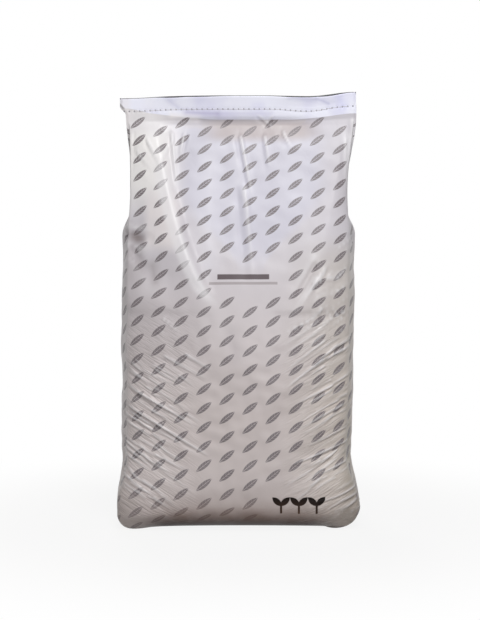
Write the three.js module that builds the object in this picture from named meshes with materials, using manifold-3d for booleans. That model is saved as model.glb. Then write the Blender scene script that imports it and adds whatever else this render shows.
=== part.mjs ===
// A 70 litre bag of compost: a gusseted film bag, filled, sewn shut along the top and standing on its base.
// Millimetres, +Z up, the printed face towards -Y, origin at the middle of the base.
import * as THREE from "three";
import { mergeVertices } from "three/addons/utils/BufferGeometryUtils.js";
import Module from "manifold-3d";

// The filled bag as it stands. Each reach is a half-width seen from the front: left and right of the middle.
const BAG_HEIGHT = 829;
const BODY_DEPTH = 264;
const FOOT_REACH = [230, 231];
const ANKLE_REACH = [213, 206];
const BELLY_REACH = [214, 210];
const SHOULDER_REACH = [211, 212];
const WAIST_REACH = [207, 208];
const HEADER_REACH = [212, 222];
const CORNER_REACH = [223, 221];

// Levels above the base, and drops below the header
const FOOT_LEVEL = 40;
const ANKLE_LEVEL = 130;
const BELLY_LEVEL = 330;
const SHOULDER_DROP = 225;
const WAIST_DROP = 150;
const NECK_DROP = 60;

// Width of the gusset panel between its two creases
const FOOT_GUSSET = 190;
const BODY_GUSSET = 150;
const SHOULDER_GUSSET = 96;
const WAIST_GUSSET = 56;
const NECK_GUSSET = 20;
const GUSSET_BULGE = 15;
const GUSSET_CREASE = 3;
const TUCK_DEPTH = 40;

// How square the panels stand on the foot and on the body: a round section has the value 2
const ROUND = 2;
const FOOT_SQUARENESS = 3.2;
const BODY_SQUARENESS = 2.1;

// The rounded bottom edge: how far it turns in under the bag and how high it rises.
// The right end of the foot is rounder than the left one.
const PANEL_TURN = 96;
const PANEL_RISE = 46;
const GUSSET_TURN = [32, 42];
const GUSSET_RISE = [28, 34];
const CORNER_TURN = [20, 40];
const CORNER_RISE = [22, 36];
const CORNER_SHARPNESS = 5;

// The slack panels that slope from the header down to the load, in front and behind
const FRONT_SLOPE = 0.332;
const BACK_SLOPE = 0.4;
const LOAD_EDGE_SOFTNESS = 34;
const SLACK_LEFT = 165;
const SLACK_RIGHT = 205;
const SLACK_TIP = 20;
const SLACK_TIP_LEVEL = 410;
const SLACK_LEFT_CURVE = 0.36;
const SLACK_RIGHT_CURVE = 0.27;
const SLACK_LEFT_SHARPNESS = 0.7;
const SLACK_RIGHT_SHARPNESS = 0.18;
const SLACK_RIM = 7;
const SLACK_RIM_WIDTH = 18;
const SLACK_START = 10;
const SLACK_FULL = 90;
const SLACK_END_DROP = 50;

// The flat header above the load, with the open mouth's two lips above the stitches
const HEADER_HEIGHT = 50;
const SEAM_DROP = 27;
const SEAM_DIP = 3;
const SEAM_DIP_PLACE = 130;
const SEAM_DIP_WIDTH = 60;
const FILM_THICKNESS = 0.9;
const LIP_PARTING = 5;
const LIP_SLIT = 0.3;
const LEAST_PARTING = 0.4;
const SEAM_TO_SLIT = 7;
const FRONT_LIP_DROP = 3.5;
const MOUTH_WAVE = 150;
const CORNER_FLARE_HEIGHT = 34;
const BACK_SHOW = 5;
const TOP_EDGE_DROPS = [12, 8, 7, 7, 8, 0];
const HEADER_LEAN = 0.16;
const LEAN_WAVE = 70;
const LEAN_SHARE = 0.6;
const HEADER_VALLEY = 7;
const HEADER_VALLEY_DROP = 13;
const HEADER_VALLEY_WIDTH = 18;

// The chain stitch that closes the bag
const THREAD_DIAMETER = 0.8;
const THREAD_CLEARANCE = 0.35;
const STRAND_GAP = 0.41;
const HOLE_ALLOWANCE = 1.15;
const STITCH_LENGTH = 10;
const LOOP_LENGTH = 7;
const SEAM_END_MARGIN = 10;
const THREAD_TAIL = 5;
const THREAD_SIDES = 5;
const HOLE_SIDES = 6;

// Folds in the front film: start [x, z], end [x, z], bow, height and width.
// Each one is a ridge with a valley under it; a negative height gives the valley alone.
const FOLDS = [
  [[-195, 262], [-91, 207], 0, 4, 11],
  [[-207, 235], [-57, 148], 0, 7, 15],
  [[-218, 167], [-152, 121], 0, 5, 10],
  [[-221, 113], [-146, 64], -12, 5, 10],
  [[-144, 331], [-57, 289], 0, 3, 16],
  [[197, 339], [92, 272], 8, 6, 14],
  [[173, 272], [109, 243], 0, 4, 11],
  [[200, 193], [132, 162], 0, 5, 11],
  [[206, 166], [99, 128], 0, 5, 12],
  [[214, 136], [150, 107], 0, 4, 10],
  [[213, 83], [140, 55], -8, 5, 11],
  [[146, 503], [102, 427], 0, -6, 17],
  [[-219, 560], [-168, 549], 0, -6, 10],
  [[-38, 675], [33, 467], 14, 3, 18],
  [[3, 748], [26, 625], 0, 2.5, 13],
  [[-129, 754], [-118, 646], 0, 2.5, 12]
];
const VALLEY_SHARE = 0.8;
const VALLEY_OFFSET = 1.35;

// Fineness of the film's surface
const FRONT_COLUMNS = [7, 7, 6];
const GUSSET_COLUMNS = 4;
const BACK_COLUMNS = 14;
const FOOT_ROWS = 4;
const BODY_ROWS = 21;
const HEADER_ROWS = 4;
const COLUMN_SPREAD = 60;
const CHORD_ERROR = 1.45;
const HEADER_CHORD_ERROR = 0.25;
const SPLIT_ROUNDS = 3;

const FILM_COLOUR = 0xc8c4c6;
const THREAD_COLOUR = 0xe9e6e2;

const headerLevel = BAG_HEIGHT - HEADER_HEIGHT;
const neckLevel = headerLevel - NECK_DROP;
const slitLevel = BAG_HEIGHT - SEAM_DROP + SEAM_TO_SLIT;
const [LEFT, RIGHT] = [0, 1];
const FRONT = -1;
const BACK = 1;

const clamp = THREE.MathUtils.clamp;
const lerp = THREE.MathUtils.lerp;
const fade = (value, from, to) => THREE.MathUtils.smoothstep(value, from, to);
const bell = (distance) => (Math.abs(distance) < 1 ? (1 - distance ** 2) ** 2 : 0);

// The lesser of two values, with the corner between them rounded off.
function softLesser(first, second, softness) {
  const overlap = clamp(0.5 + (second - first) / (2 * softness), 0, 1);
  return lerp(second, first, overlap) - softness * overlap * (1 - overlap);
}

// A smooth curve through [position, value] pairs that never overshoots them.
function profile(pairs) {
  const last = pairs.length - 1;
  const slopes = pairs.slice(1).map(([at, value], i) => (value - pairs[i][1]) / (at - pairs[i][0]));
  const tangents = pairs.map((_, i) => {
    if (i === 0 || i === last) return 0;
    const [before, after] = [slopes[i - 1], slopes[i]];
    return before * after <= 0 ? 0 : (2 * before * after) / (before + after);
  });
  return (position) => {
    if (position <= pairs[0][0]) return pairs[0][1];
    if (position >= pairs[last][0]) return pairs[last][1];
    const i = pairs.findIndex((_, k) => position < pairs[k + 1][0]);
    const span = pairs[i + 1][0] - pairs[i][0];
    const t = (position - pairs[i][0]) / span;
    const start = pairs[i][1] * (1 + 2 * t) * (1 - t) ** 2 + tangents[i] * span * t * (1 - t) ** 2;
    const end = pairs[i + 1][1] * t * t * (3 - 2 * t) + tangents[i + 1] * span * t * t * (t - 1);
    return start + end;
  };
}

const reachOf = (side) =>
  profile([
    [FOOT_LEVEL, FOOT_REACH[side]],
    [ANKLE_LEVEL, ANKLE_REACH[side]],
    [BELLY_LEVEL, BELLY_REACH[side]],
    [headerLevel - SHOULDER_DROP, SHOULDER_REACH[side]],
    [headerLevel - WAIST_DROP, WAIST_REACH[side]],
    [BAG_HEIGHT - CORNER_FLARE_HEIGHT, HEADER_REACH[side]],
    [BAG_HEIGHT - CORNER_FLARE_HEIGHT / 2, CORNER_REACH[side]]
  ]);
const reaches = [reachOf(LEFT), reachOf(RIGHT)];

const gussetWidth = profile([
  [FOOT_LEVEL, FOOT_GUSSET],
  [ANKLE_LEVEL, BODY_GUSSET],
  [BELLY_LEVEL, BODY_GUSSET],
  [headerLevel - SHOULDER_DROP, SHOULDER_GUSSET],
  [headerLevel - WAIST_DROP, WAIST_GUSSET],
  [neckLevel, NECK_GUSSET],
  [headerLevel, 2 * FILM_THICKNESS]
]);

const tuckDepth = profile([
  [headerLevel - SHOULDER_DROP, GUSSET_CREASE],
  [headerLevel - WAIST_DROP, TUCK_DEPTH / 2],
  [neckLevel, TUCK_DEPTH],
  [headerLevel, 0]
]);

const gussetBulge = profile([
  [FOOT_LEVEL, GUSSET_BULGE / 3],
  [ANKLE_LEVEL, GUSSET_BULGE],
  [headerLevel - SHOULDER_DROP, GUSSET_BULGE],
  [headerLevel - WAIST_DROP, 0]
]);

const squareness = profile([
  [FOOT_LEVEL, FOOT_SQUARENESS],
  [ANKLE_LEVEL + FOOT_LEVEL, BODY_SQUARENESS],
  [BAG_HEIGHT, ROUND]
]);

// How far the cut top edge drops below the highest point, from the left corner to the right one
const topEdgeDrop = profile(
  TOP_EDGE_DROPS.map((drop, i) => [
    lerp(-HEADER_REACH[LEFT], HEADER_REACH[RIGHT], i / (TOP_EDGE_DROPS.length - 1)),
    drop
  ])
);

// How far the header hangs below an even one, at a place along it.
const headerDrop = (x, level) => topEdgeDrop(x) * fade(level, neckLevel, BAG_HEIGHT);

// The lips' parting: a slit that opens from the seam up to the cut edges, in waves along the mouth.
function slitWidth(x, level) {
  const wave = lerp(LEAST_PARTING, 1, Math.sin((Math.PI * x) / MOUTH_WAVE) ** 2);
  const rise = Math.max(0, (level - slitLevel) / (BAG_HEIGHT - slitLevel));
  return LIP_SLIT + (LIP_PARTING - LIP_SLIT) * wave * rise;
}

// Half the thickness of one side of the bag at its middle line, at one level.
function panelDepth(level, side) {
  const slope = side === FRONT ? FRONT_SLOPE : BACK_SLOPE;
  const slack = FILM_THICKNESS + slope * Math.max(0, headerLevel - level);
  return softLesser(slack, BODY_DEPTH / 2, LOAD_EDGE_SOFTNESS);
}

// The slack front panel is a wedge that narrows from the header down to its tip on the load.
function slackEdge(level, side) {
  const along = clamp((level - SLACK_TIP_LEVEL) / (headerLevel - SLACK_TIP_LEVEL), 0, 1);
  return side === LEFT
    ? SLACK_TIP - (SLACK_TIP + SLACK_LEFT) * along ** SLACK_LEFT_CURVE
    : SLACK_TIP + (SLACK_RIGHT - SLACK_TIP) * along ** SLACK_RIGHT_CURVE;
}

function frontDepth(x, level) {
  const middle = panelDepth(level, FRONT);
  const edge = gussetWidth(level) / 2;
  const opening = fade(level, SLACK_TIP_LEVEL + SLACK_START, SLACK_TIP_LEVEL + SLACK_FULL);
  const presence = opening * (1 - fade(level, headerLevel - SLACK_END_DROP, headerLevel));
  const [left, right] = [slackEdge(level, LEFT), slackEdge(level, RIGHT)];
  const side = x < (left + right) / 2 ? LEFT : RIGHT;
  const beyond = side === LEFT ? left - x : x - right;
  const flank = side === LEFT ? left + reaches[LEFT](level) : reaches[RIGHT](level) - right;
  const t = clamp(beyond / flank, 0, 1);
  const power = squareness(level);
  const sharpness = presence * (side === LEFT ? SLACK_LEFT_SHARPNESS : SLACK_RIGHT_SHARPNESS);
  const fall = sharpness * t + (1 - sharpness) * (1 - (1 - t ** power) ** (1 / power));
  const curl = beyond < 0 ? Math.max(0, 1 + beyond / SLACK_RIM_WIDTH) ** 2 : bell(beyond / SLACK_RIM_WIDTH);
  const rim = side === LEFT ? SLACK_RIM * presence * curl : 0;
  return middle - (middle - edge) * fall + rim;
}

function backDepth(x, level) {
  const middle = panelDepth(level, BACK);
  const edge = gussetWidth(level) / 2;
  const t = clamp(Math.abs(x) / reaches[x < 0 ? LEFT : RIGHT](level), 0, 1);
  const power = squareness(level);
  return edge + (middle - edge) * (1 - t ** power) ** (1 / power);
}

// How far the front film stands out at a place because of the folds.
function foldHeight(x, level) {
  return FOLDS.reduce((sum, [[startX, startZ], [endX, endZ], bow, height, width]) => {
    const length = Math.hypot(endX - startX, endZ - startZ);
    const [dirX, dirZ] = [(endX - startX) / length, (endZ - startZ) / length];
    const along = ((x - startX) * dirX + (level - startZ) * dirZ) / length;
    if (along <= 0 || along >= 1) return sum;
    const arch = 4 * along * (1 - along);
    const up = Math.sign(dirX) * ((level - startZ) * dirX - (x - startX) * dirZ) - bow * arch;
    const valley = height > 0 ? VALLEY_SHARE * bell(up / width + VALLEY_OFFSET) : 0;
    return sum + height * (bell(up / width) - valley) * Math.sqrt(arch);
  }, 0);
}

// The header isn't quite flat: it leans forward over a shallow valley above the load.
function headerShift(x, level) {
  const valleyLevel = headerLevel - HEADER_VALLEY_DROP;
  const across = 1 - fade(Math.abs(x), SLACK_LEFT / 2, SLACK_LEFT);
  const valley = HEADER_VALLEY * across * bell((level - valleyLevel) / HEADER_VALLEY_WIDTH);
  const lean = HEADER_LEAN * Math.max(0, level - valleyLevel) * lerp(Math.cos(x / LEAN_WAVE), 1, LEAN_SHARE);
  return valley - lean;
}

// Around the bag a place counts from 0 to 4: front, right gusset, back, left gusset.
// Up the bag it counts from 0 to 1 round the bottom edge and from 1 to 2 up to the cut edge.
function sectionPoint(around, level) {
  const part = Math.floor(around) % 4;
  const t = around - Math.floor(around);
  const [left, right] = [reaches[LEFT](level), reaches[RIGHT](level)];
  const backExtra = BACK_SHOW * fade(level, headerLevel - WAIST_DROP, headerLevel);
  if (part === 0) {
    const x = frontColumn(t, level);
    const free = fade(level, 0, FOOT_LEVEL) * (1 - fade(level, neckLevel, headerLevel));
    return [x, -frontDepth(x, level) - foldHeight(x, level) * free];
  }
  if (part === 2) {
    const across = Math.cos(Math.PI * t);
    const reach = across < 0 ? left : right;
    return [across * (reach + backExtra), backDepth(across * reach, level)];
  }
  const facing = part === 1 ? 1 : -1;
  const reach = part === 1 ? right : left;
  const y = (2 * t - 1) * facing * (gussetWidth(level) / 2);
  const off = Math.abs(2 * t - 1);
  const out = gussetBulge(level) * (1 - off ** 2) - tuckDepth(level) * (1 - off);
  const skew = backExtra * (part === 1 ? t : 1 - t);
  return [facing * (reach + out + skew), y];
}

// Columns of the front panel follow the edges of the slack panel, and crowd towards the gusset creases.
function frontColumn(t, level) {
  const left = -reaches[LEFT](level);
  const right = reaches[RIGHT](level);
  const innerLeft = Math.min(slackEdge(level, LEFT), -COLUMN_SPREAD);
  const innerRight = Math.max(slackEdge(level, RIGHT), COLUMN_SPREAD);
  const total = FRONT_COLUMNS[0] + FRONT_COLUMNS[1] + FRONT_COLUMNS[2];
  const first = FRONT_COLUMNS[0] / total;
  const second = (FRONT_COLUMNS[0] + FRONT_COLUMNS[1]) / total;
  if (t <= first) return lerp(left, innerLeft, 1 - Math.cos((Math.PI / 2) * (t / first)));
  if (t <= second) return lerp(innerLeft, innerRight, (t - first) / (second - first));
  return lerp(right, innerRight, 1 - Math.cos((Math.PI / 2) * ((1 - t) / (1 - second))));
}

// Values that differ between the panels, the gussets and the four corners of the bottom edge.
function aroundFoot(around, onPanel, onGusset, atCorner) {
  const part = Math.floor(around) % 4;
  const share = around - Math.floor(around);
  const onRight = part === 1 || (part === 0 && share >= 0.5) || (part === 2 && share < 0.5);
  const side = onRight ? RIGHT : LEFT;
  return lerp(part % 2 === 0 ? onPanel : onGusset[side], atCorner[side], (2 * share - 1) ** 2);
}

// A point of the film, from its place around the bag and up the bag.
function filmPoint(around, up) {
  const rise = aroundFoot(around, PANEL_RISE, GUSSET_RISE, CORNER_RISE);
  if (up < 1) {
    const angle = (Math.PI / 2) * up;
    const turn = aroundFoot(around, PANEL_TURN, GUSSET_TURN, CORNER_TURN) * (1 - Math.sin(angle));
    const [x, y] = sectionPoint(around, rise);
    const outward = new THREE.Vector2(
      Math.sign(x) * Math.abs(x / FOOT_REACH[x < 0 ? LEFT : RIGHT]) ** CORNER_SHARPNESS,
      Math.sign(y) * Math.abs(y / (BODY_DEPTH / 2)) ** CORNER_SHARPNESS
    ).normalize();
    return new THREE.Vector3(x - outward.x * turn, y - outward.y * turn, rise * (1 - Math.cos(angle)));
  }
  const even = lerp(rise, BAG_HEIGHT, up - 1);
  const [x, y] = sectionPoint(around, even);
  const isFront = y < 0;
  const lipDrop = isFront ? FRONT_LIP_DROP * fade(even, slitLevel, BAG_HEIGHT) : 0;
  const level = even - headerDrop(x, even) - lipDrop;
  const parting = slitWidth(x, even) / 2 * fade(even, headerLevel, slitLevel) * (isFront ? FRONT : BACK);
  return new THREE.Vector3(x, y + parting + headerShift(x, level), level);
}

// The grid of places that the surface starts from, joined into triangles that face out.
function startingGrid() {
  const arounds = [];
  const frontColumns = FRONT_COLUMNS[0] + FRONT_COLUMNS[1] + FRONT_COLUMNS[2];
  const counts = [frontColumns, GUSSET_COLUMNS, BACK_COLUMNS, GUSSET_COLUMNS];
  counts.forEach((count, part) => {
    for (let i = 0; i < count; i++) arounds.push(part + i / count);
  });
  const headerStart = 1 + neckLevel / BAG_HEIGHT;
  const ups = [];
  for (let i = 0; i < FOOT_ROWS; i++) ups.push(i / FOOT_ROWS);
  for (let i = 0; i < BODY_ROWS; i++) ups.push(lerp(1, headerStart, i / BODY_ROWS));
  for (let i = 0; i <= HEADER_ROWS; i++) ups.push(lerp(headerStart, 2, i / HEADER_ROWS));
  const places = ups.flatMap((up) => arounds.map((around) => [around, up]));
  const triangles = [];
  const wide = arounds.length;
  for (let row = 0; row < ups.length - 1; row++) {
    for (let column = 0; column < wide; column++) {
      const next = (column + 1) % wide;
      const [a, b] = [row * wide + column, row * wide + next];
      const [c, d] = [a + wide, b + wide];
      triangles.push([a, b, d], [a, d, c]);
    }
  }
  return { places, triangles };
}

function midPlace([around, up], [otherAround, otherUp]) {
  let wrapped = otherAround;
  if (otherAround - around > 2) wrapped -= 4;
  if (otherAround - around < -2) wrapped += 4;
  return [((around + wrapped) / 2 + 4) % 4, (up + otherUp) / 2];
}

// Halves every edge whose middle lies too far off the true surface, and the triangles beside it.
function refine({ places, triangles }) {
  const points = places.map(([around, up]) => filmPoint(around, up));
  const middles = new Map();
  const middleOf = (a, b) => {
    const key = a < b ? `${a},${b}` : `${b},${a}`;
    if (middles.has(key)) return middles.get(key);
    const place = midPlace(places[Math.min(a, b)], places[Math.max(a, b)]);
    const point = filmPoint(...place);
    const off = point.distanceTo(points[a].clone().lerp(points[b], 0.5));
    const allowed = point.z > headerLevel ? HEADER_CHORD_ERROR : CHORD_ERROR;
    let middle = -1;
    if (off > allowed) {
      middle = places.length;
      places.push(place);
      points.push(point);
    }
    middles.set(key, middle);
    return middle;
  };
  const refined = triangles.flatMap((corners) => {
    const mids = corners.map((corner, i) => middleOf(corner, corners[(i + 1) % 3]));
    const split = mids.filter((middle) => middle >= 0).length;
    if (split === 0) return [corners];
    const turns = [0, mids.findIndex((m) => m >= 0), (mids.findIndex((m) => m < 0) + 1) % 3, 0];
    const turn = turns[split];
    const [a, b, c] = [0, 1, 2].map((i) => corners[(i + turn) % 3]);
    const [ab, bc, ca] = [0, 1, 2].map((i) => mids[(i + turn) % 3]);
    if (split === 1) return [[a, ab, c], [ab, b, c]];
    if (split === 2) return [[ab, b, bc], [a, ab, bc], [a, bc, c]];
    return [[a, ab, ca], [ab, b, bc], [ca, bc, c], [ab, bc, ca]];
  });
  return { places, triangles: refined };
}

// Closes the surface with a strip between its front half and its back half, at the base or at the cut edge.
function closingStrip(places, up, facesUp) {
  const ring = places.map(([around, at], index) => ({ around, at, index })).filter(({ at }) => at === up);
  const alongFront = ({ around }) => (around + 0.5) % 4;
  const alongBack = ({ around }) => (7.5 - around) % 4;
  const front = ring.filter((place) => alongFront(place) <= 2).sort((a, b) => alongFront(a) - alongFront(b));
  const back = ring.filter((place) => alongBack(place) <= 2).sort((a, b) => alongBack(a) - alongBack(b));
  const strip = [];
  let [i, j] = [0, 0];
  while (i < front.length - 1 || j < back.length - 1) {
    const frontAhead = i < front.length - 1 ? alongFront(front[i + 1]) : Infinity;
    const backAhead = j < back.length - 1 ? alongBack(back[j + 1]) : Infinity;
    const stepFront = frontAhead <= backAhead;
    const apex = stepFront ? front[i + 1] : back[j + 1];
    const triangle = [front[i].index, apex.index, back[j].index];
    if (new Set(triangle).size === 3) strip.push(facesUp ? triangle : triangle.reverse());
    if (stepFront) i++;
    else j++;
  }
  return strip;
}

function geometryOf(points, triangles) {
  const geometry = new THREE.BufferGeometry();
  geometry.setAttribute("position", new THREE.Float32BufferAttribute(points.flatMap((p) => p.toArray()), 3));
  geometry.setIndex(triangles.flat());
  return geometry;
}

function sealedFilm() {
  let film = startingGrid();
  for (let round = 0; round < SPLIT_ROUNDS; round++) film = refine(film);
  const { places, triangles } = film;
  const closed = [...triangles, ...closingStrip(places, 0, false), ...closingStrip(places, 2, true)];
  return geometryOf(places.map(([around, up]) => filmPoint(around, up)), closed);
}

// The wedge of air between the two lips, which runs the whole width of the mouth.
function mouthSlit() {
  const points = [];
  const triangles = [];
  const columns = 4 * BACK_COLUMNS;
  const levels = [slitLevel, lerp(slitLevel, BAG_HEIGHT, 0.5), BAG_HEIGHT + HEADER_HEIGHT];
  for (let column = 0; column <= columns; column++) {
    const x = lerp(-2 * CORNER_REACH[LEFT], 2 * CORNER_REACH[RIGHT], column / columns);
    for (const side of [FRONT, BACK]) {
      for (const level of side === FRONT ? levels : [...levels].reverse()) {
        const dropped = level - headerDrop(x, level);
        const y = headerShift(x, dropped) + (side * slitWidth(x, level)) / 2;
        points.push(new THREE.Vector3(x, y, dropped));
      }
    }
  }
  const around = 2 * levels.length;
  for (let column = 0; column < columns; column++) {
    for (let i = 0; i < around; i++) {
      const [a, b] = [column * around + i, column * around + ((i + 1) % around)];
      triangles.push([a, b, b + around], [a, b + around, a + around]);
    }
  }
  for (let i = 1; i < around - 1; i++) {
    const end = columns * around;
    triangles.push([0, i + 1, i], [end, end + i, end + i + 1]);
  }
  return geometryOf(points, triangles);
}

const wasm = await Module();
wasm.setup();

function solidOf(geometry) {
  const plain = geometry.clone();
  plain.deleteAttribute("normal");
  plain.deleteAttribute("uv");
  const merged = mergeVertices(plain, 1e-4);
  const mesh = new wasm.Mesh({
    numProp: 3,
    vertProperties: new Float32Array(merged.attributes.position.array),
    triVerts: new Uint32Array(merged.index.array)
  });
  return new wasm.Manifold(mesh);
}

function geometryFrom(solid) {
  const { vertProperties, triVerts } = solid.getMesh();
  const geometry = new THREE.BufferGeometry();
  geometry.setAttribute("position", new THREE.BufferAttribute(vertProperties, 3));
  geometry.setIndex(new THREE.BufferAttribute(triVerts, 1));
  geometry.computeVertexNormals();
  return geometry;
}

// The seam runs along the header, sagging a little to the right of the middle.
function seamLevel(x) {
  const even = BAG_HEIGHT - SEAM_DROP;
  return even - headerDrop(x, even) - SEAM_DIP * bell((x - SEAM_DIP_PLACE) / SEAM_DIP_WIDTH);
}

const strandOffset = (THREAD_DIAMETER + STRAND_GAP) / 2;
const seamSpan = HEADER_REACH[LEFT] + HEADER_REACH[RIGHT] - 2 * SEAM_END_MARGIN;
const stitchCount = Math.floor(seamSpan / STITCH_LENGTH);
const firstStitch = (HEADER_REACH[RIGHT] - HEADER_REACH[LEFT] - stitchCount * STITCH_LENGTH) / 2;

function needleHole(x) {
  const level = seamLevel(x);
  const radius = THREAD_DIAMETER / 2 + THREAD_CLEARANCE;
  const depth = 4 * (2 * FILM_THICKNESS + LIP_SLIT);
  const hole = new THREE.CylinderGeometry(radius, radius, depth, HOLE_SIDES);
  hole.scale(HOLE_ALLOWANCE, 1, (HOLE_ALLOWANCE * (radius + strandOffset)) / radius);
  hole.translate(x, headerShift(x, level), level);
  return hole;
}

// A path through corners, sampled at the corners alone.
class ThreadPath extends THREE.Curve {
  constructor(corners) {
    super();
    this.corners = corners;
  }
  getPoint(t, target = new THREE.Vector3()) {
    const at = clamp(t, 0, 1) * (this.corners.length - 1);
    const i = Math.min(Math.floor(at), this.corners.length - 2);
    return target.lerpVectors(this.corners[i], this.corners[i + 1], at - i);
  }
  getPointAt(t, target) {
    return this.getPoint(t, target);
  }
  getTangentAt(t, target) {
    return this.getTangent(t, target);
  }
}

// One continuous chain stitch: straight dashes in front, and a loop behind the film at each needle hole.
function seamCorners() {
  const standOff = FILM_THICKNESS + LIP_SLIT / 2 + THREAD_CLEARANCE + THREAD_DIAMETER / 2;
  const corners = [];
  const place = (x, side, up) => {
    const level = seamLevel(x) + up * strandOffset;
    corners.push(new THREE.Vector3(x, headerShift(x, level) + side * standOff, level));
  };
  place(firstStitch - THREAD_TAIL, FRONT, 1);
  for (let i = 0; i <= stitchCount; i++) {
    const x = firstStitch + i * STITCH_LENGTH;
    place(x, FRONT, 1);
    place(x, BACK, 1);
    place(x + LOOP_LENGTH, BACK, 1);
    place(x + LOOP_LENGTH, BACK, -1);
    place(x, BACK, -1);
    place(x, FRONT, -1);
  }
  place(firstStitch + stitchCount * STITCH_LENGTH + THREAD_TAIL, FRONT, -1);
  return corners;
}

function closingThread() {
  const corners = seamCorners();
  const section = new THREE.Shape();
  for (let i = 0; i < THREAD_SIDES; i++) {
    const angle = (2 * Math.PI * i) / THREAD_SIDES;
    const [x, y] = [(THREAD_DIAMETER / 2) * Math.cos(angle), (THREAD_DIAMETER / 2) * Math.sin(angle)];
    if (i === 0) section.moveTo(x, y);
    else section.lineTo(x, y);
  }
  return new THREE.ExtrudeGeometry(section, {
    extrudePath: new ThreadPath(corners),
    steps: corners.length - 1,
    curveSegments: 1
  });
}

function filledBag() {
  let bag = solidOf(sealedFilm()).subtract(solidOf(mouthSlit()));
  for (let i = 0; i <= stitchCount; i++) {
    bag = bag.subtract(solidOf(needleHole(firstStitch + i * STITCH_LENGTH)));
  }
  return geometryFrom(bag);
}

function named(name, geometry, color, roughness) {
  const mesh = new THREE.Mesh(geometry, new THREE.MeshStandardMaterial({ color, roughness, metalness: 0 }));
  mesh.name = name;
  return mesh;
}

const group = new THREE.Group();
group.name = "compost_bag";
group.add(named("filled_bag", filledBag(), FILM_COLOUR, 0.42));
group.add(named("closing_thread", closingThread(), THREAD_COLOUR, 0.8));

const middle = new THREE.Box3().setFromObject(group).getCenter(new THREE.Vector3());
for (const piece of group.children) piece.position.set(-middle.x, -middle.y, 0);

export default group;
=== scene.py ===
"""A filled, sewn compost bag of white gusseted film with a grey print, on a pale studio floor."""
import math

import bpy
import numpy as np
from bpy.props import FloatProperty, FloatVectorProperty, PointerProperty
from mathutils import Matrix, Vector


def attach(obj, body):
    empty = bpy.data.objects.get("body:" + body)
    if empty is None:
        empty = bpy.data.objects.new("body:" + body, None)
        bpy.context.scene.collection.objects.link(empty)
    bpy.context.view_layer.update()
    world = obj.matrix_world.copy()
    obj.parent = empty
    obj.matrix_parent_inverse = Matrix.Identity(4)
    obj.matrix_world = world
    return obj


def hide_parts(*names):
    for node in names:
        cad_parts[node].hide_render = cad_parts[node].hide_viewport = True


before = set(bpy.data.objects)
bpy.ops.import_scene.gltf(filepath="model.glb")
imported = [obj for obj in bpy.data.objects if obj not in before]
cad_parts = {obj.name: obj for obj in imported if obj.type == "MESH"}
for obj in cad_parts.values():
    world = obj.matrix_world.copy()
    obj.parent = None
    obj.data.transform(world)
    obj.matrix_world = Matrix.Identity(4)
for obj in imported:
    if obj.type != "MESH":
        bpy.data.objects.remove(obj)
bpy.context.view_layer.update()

bl_info = {
    "name": "Compost Bag",
    "version": (1, 0, 0),
    "blender": (4, 5, 0),
    "location": "View3D > Sidebar > Compost Bag",
    "description": "Makes a filled compost bag with its print and closing stitch, and a studio for it",
    "category": "Add Mesh",
}

# The bag's main sizes in millimetres, as it stands.
# A reach is a half-width, to the left and to the right.
BAG_HEIGHT = 829.0
BODY_DEPTH = 264.0
HEADER_HEIGHT = 50.0
LEFT, RIGHT = 0, 1
HEADER_REACH = (212.0, 222.0)
HEADER_LEVEL = BAG_HEIGHT - HEADER_HEIGHT
NECK_LEVEL = HEADER_LEVEL - 60.0
WAIST_LEVEL = HEADER_LEVEL - 150.0
SHOULDER_LEVEL = HEADER_LEVEL - 225.0
FLARE_LEVEL = BAG_HEIGHT - 34.0
FOOT_LEVEL = 40.0
ANKLE_LEVEL = 130.0
BELLY_LEVEL = 330.0
OUTLINES = (
    ((FOOT_LEVEL, 230), (ANKLE_LEVEL, 213), (BELLY_LEVEL, 214), (SHOULDER_LEVEL, 211),
     (WAIST_LEVEL, 207), (FLARE_LEVEL, HEADER_REACH[LEFT]), (FLARE_LEVEL + 17, 223)),
    ((FOOT_LEVEL, 231), (ANKLE_LEVEL, 206), (BELLY_LEVEL, 210), (SHOULDER_LEVEL, 212),
     (WAIST_LEVEL, 208), (FLARE_LEVEL, HEADER_REACH[RIGHT]), (FLARE_LEVEL + 17, 221)),
)
GUSSET_WIDTHS = (
    (FOOT_LEVEL, 190), (ANKLE_LEVEL, 150), (BELLY_LEVEL, 150), (SHOULDER_LEVEL, 96),
    (WAIST_LEVEL, 56), (NECK_LEVEL, 20), (HEADER_LEVEL, 1.2),
)
TUCK_DEPTHS = ((SHOULDER_LEVEL, 3), (WAIST_LEVEL, 20), (NECK_LEVEL, 40), (HEADER_LEVEL, 0))
GUSSET_BULGES = ((FOOT_LEVEL, 5), (ANKLE_LEVEL, 15), (SHOULDER_LEVEL, 15), (WAIST_LEVEL, 0))
SQUARENESS = ((FOOT_LEVEL, 3.2), (ANKLE_LEVEL + FOOT_LEVEL, 2.1), (BAG_HEIGHT, 2.0))
TOP_EDGE_DROPS = (12, 8, 7, 7, 8, 0)
PANEL_RISE, GUSSET_RISES, CORNER_RISES = 46.0, (28.0, 34.0), (28.0, 42.0)
PANEL_TURN, GUSSET_TURNS, CORNER_TURNS = 80.0, (32.0, 42.0), (30.0, 52.0)
FOOT_REACH = (230.0, 231.0)

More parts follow.
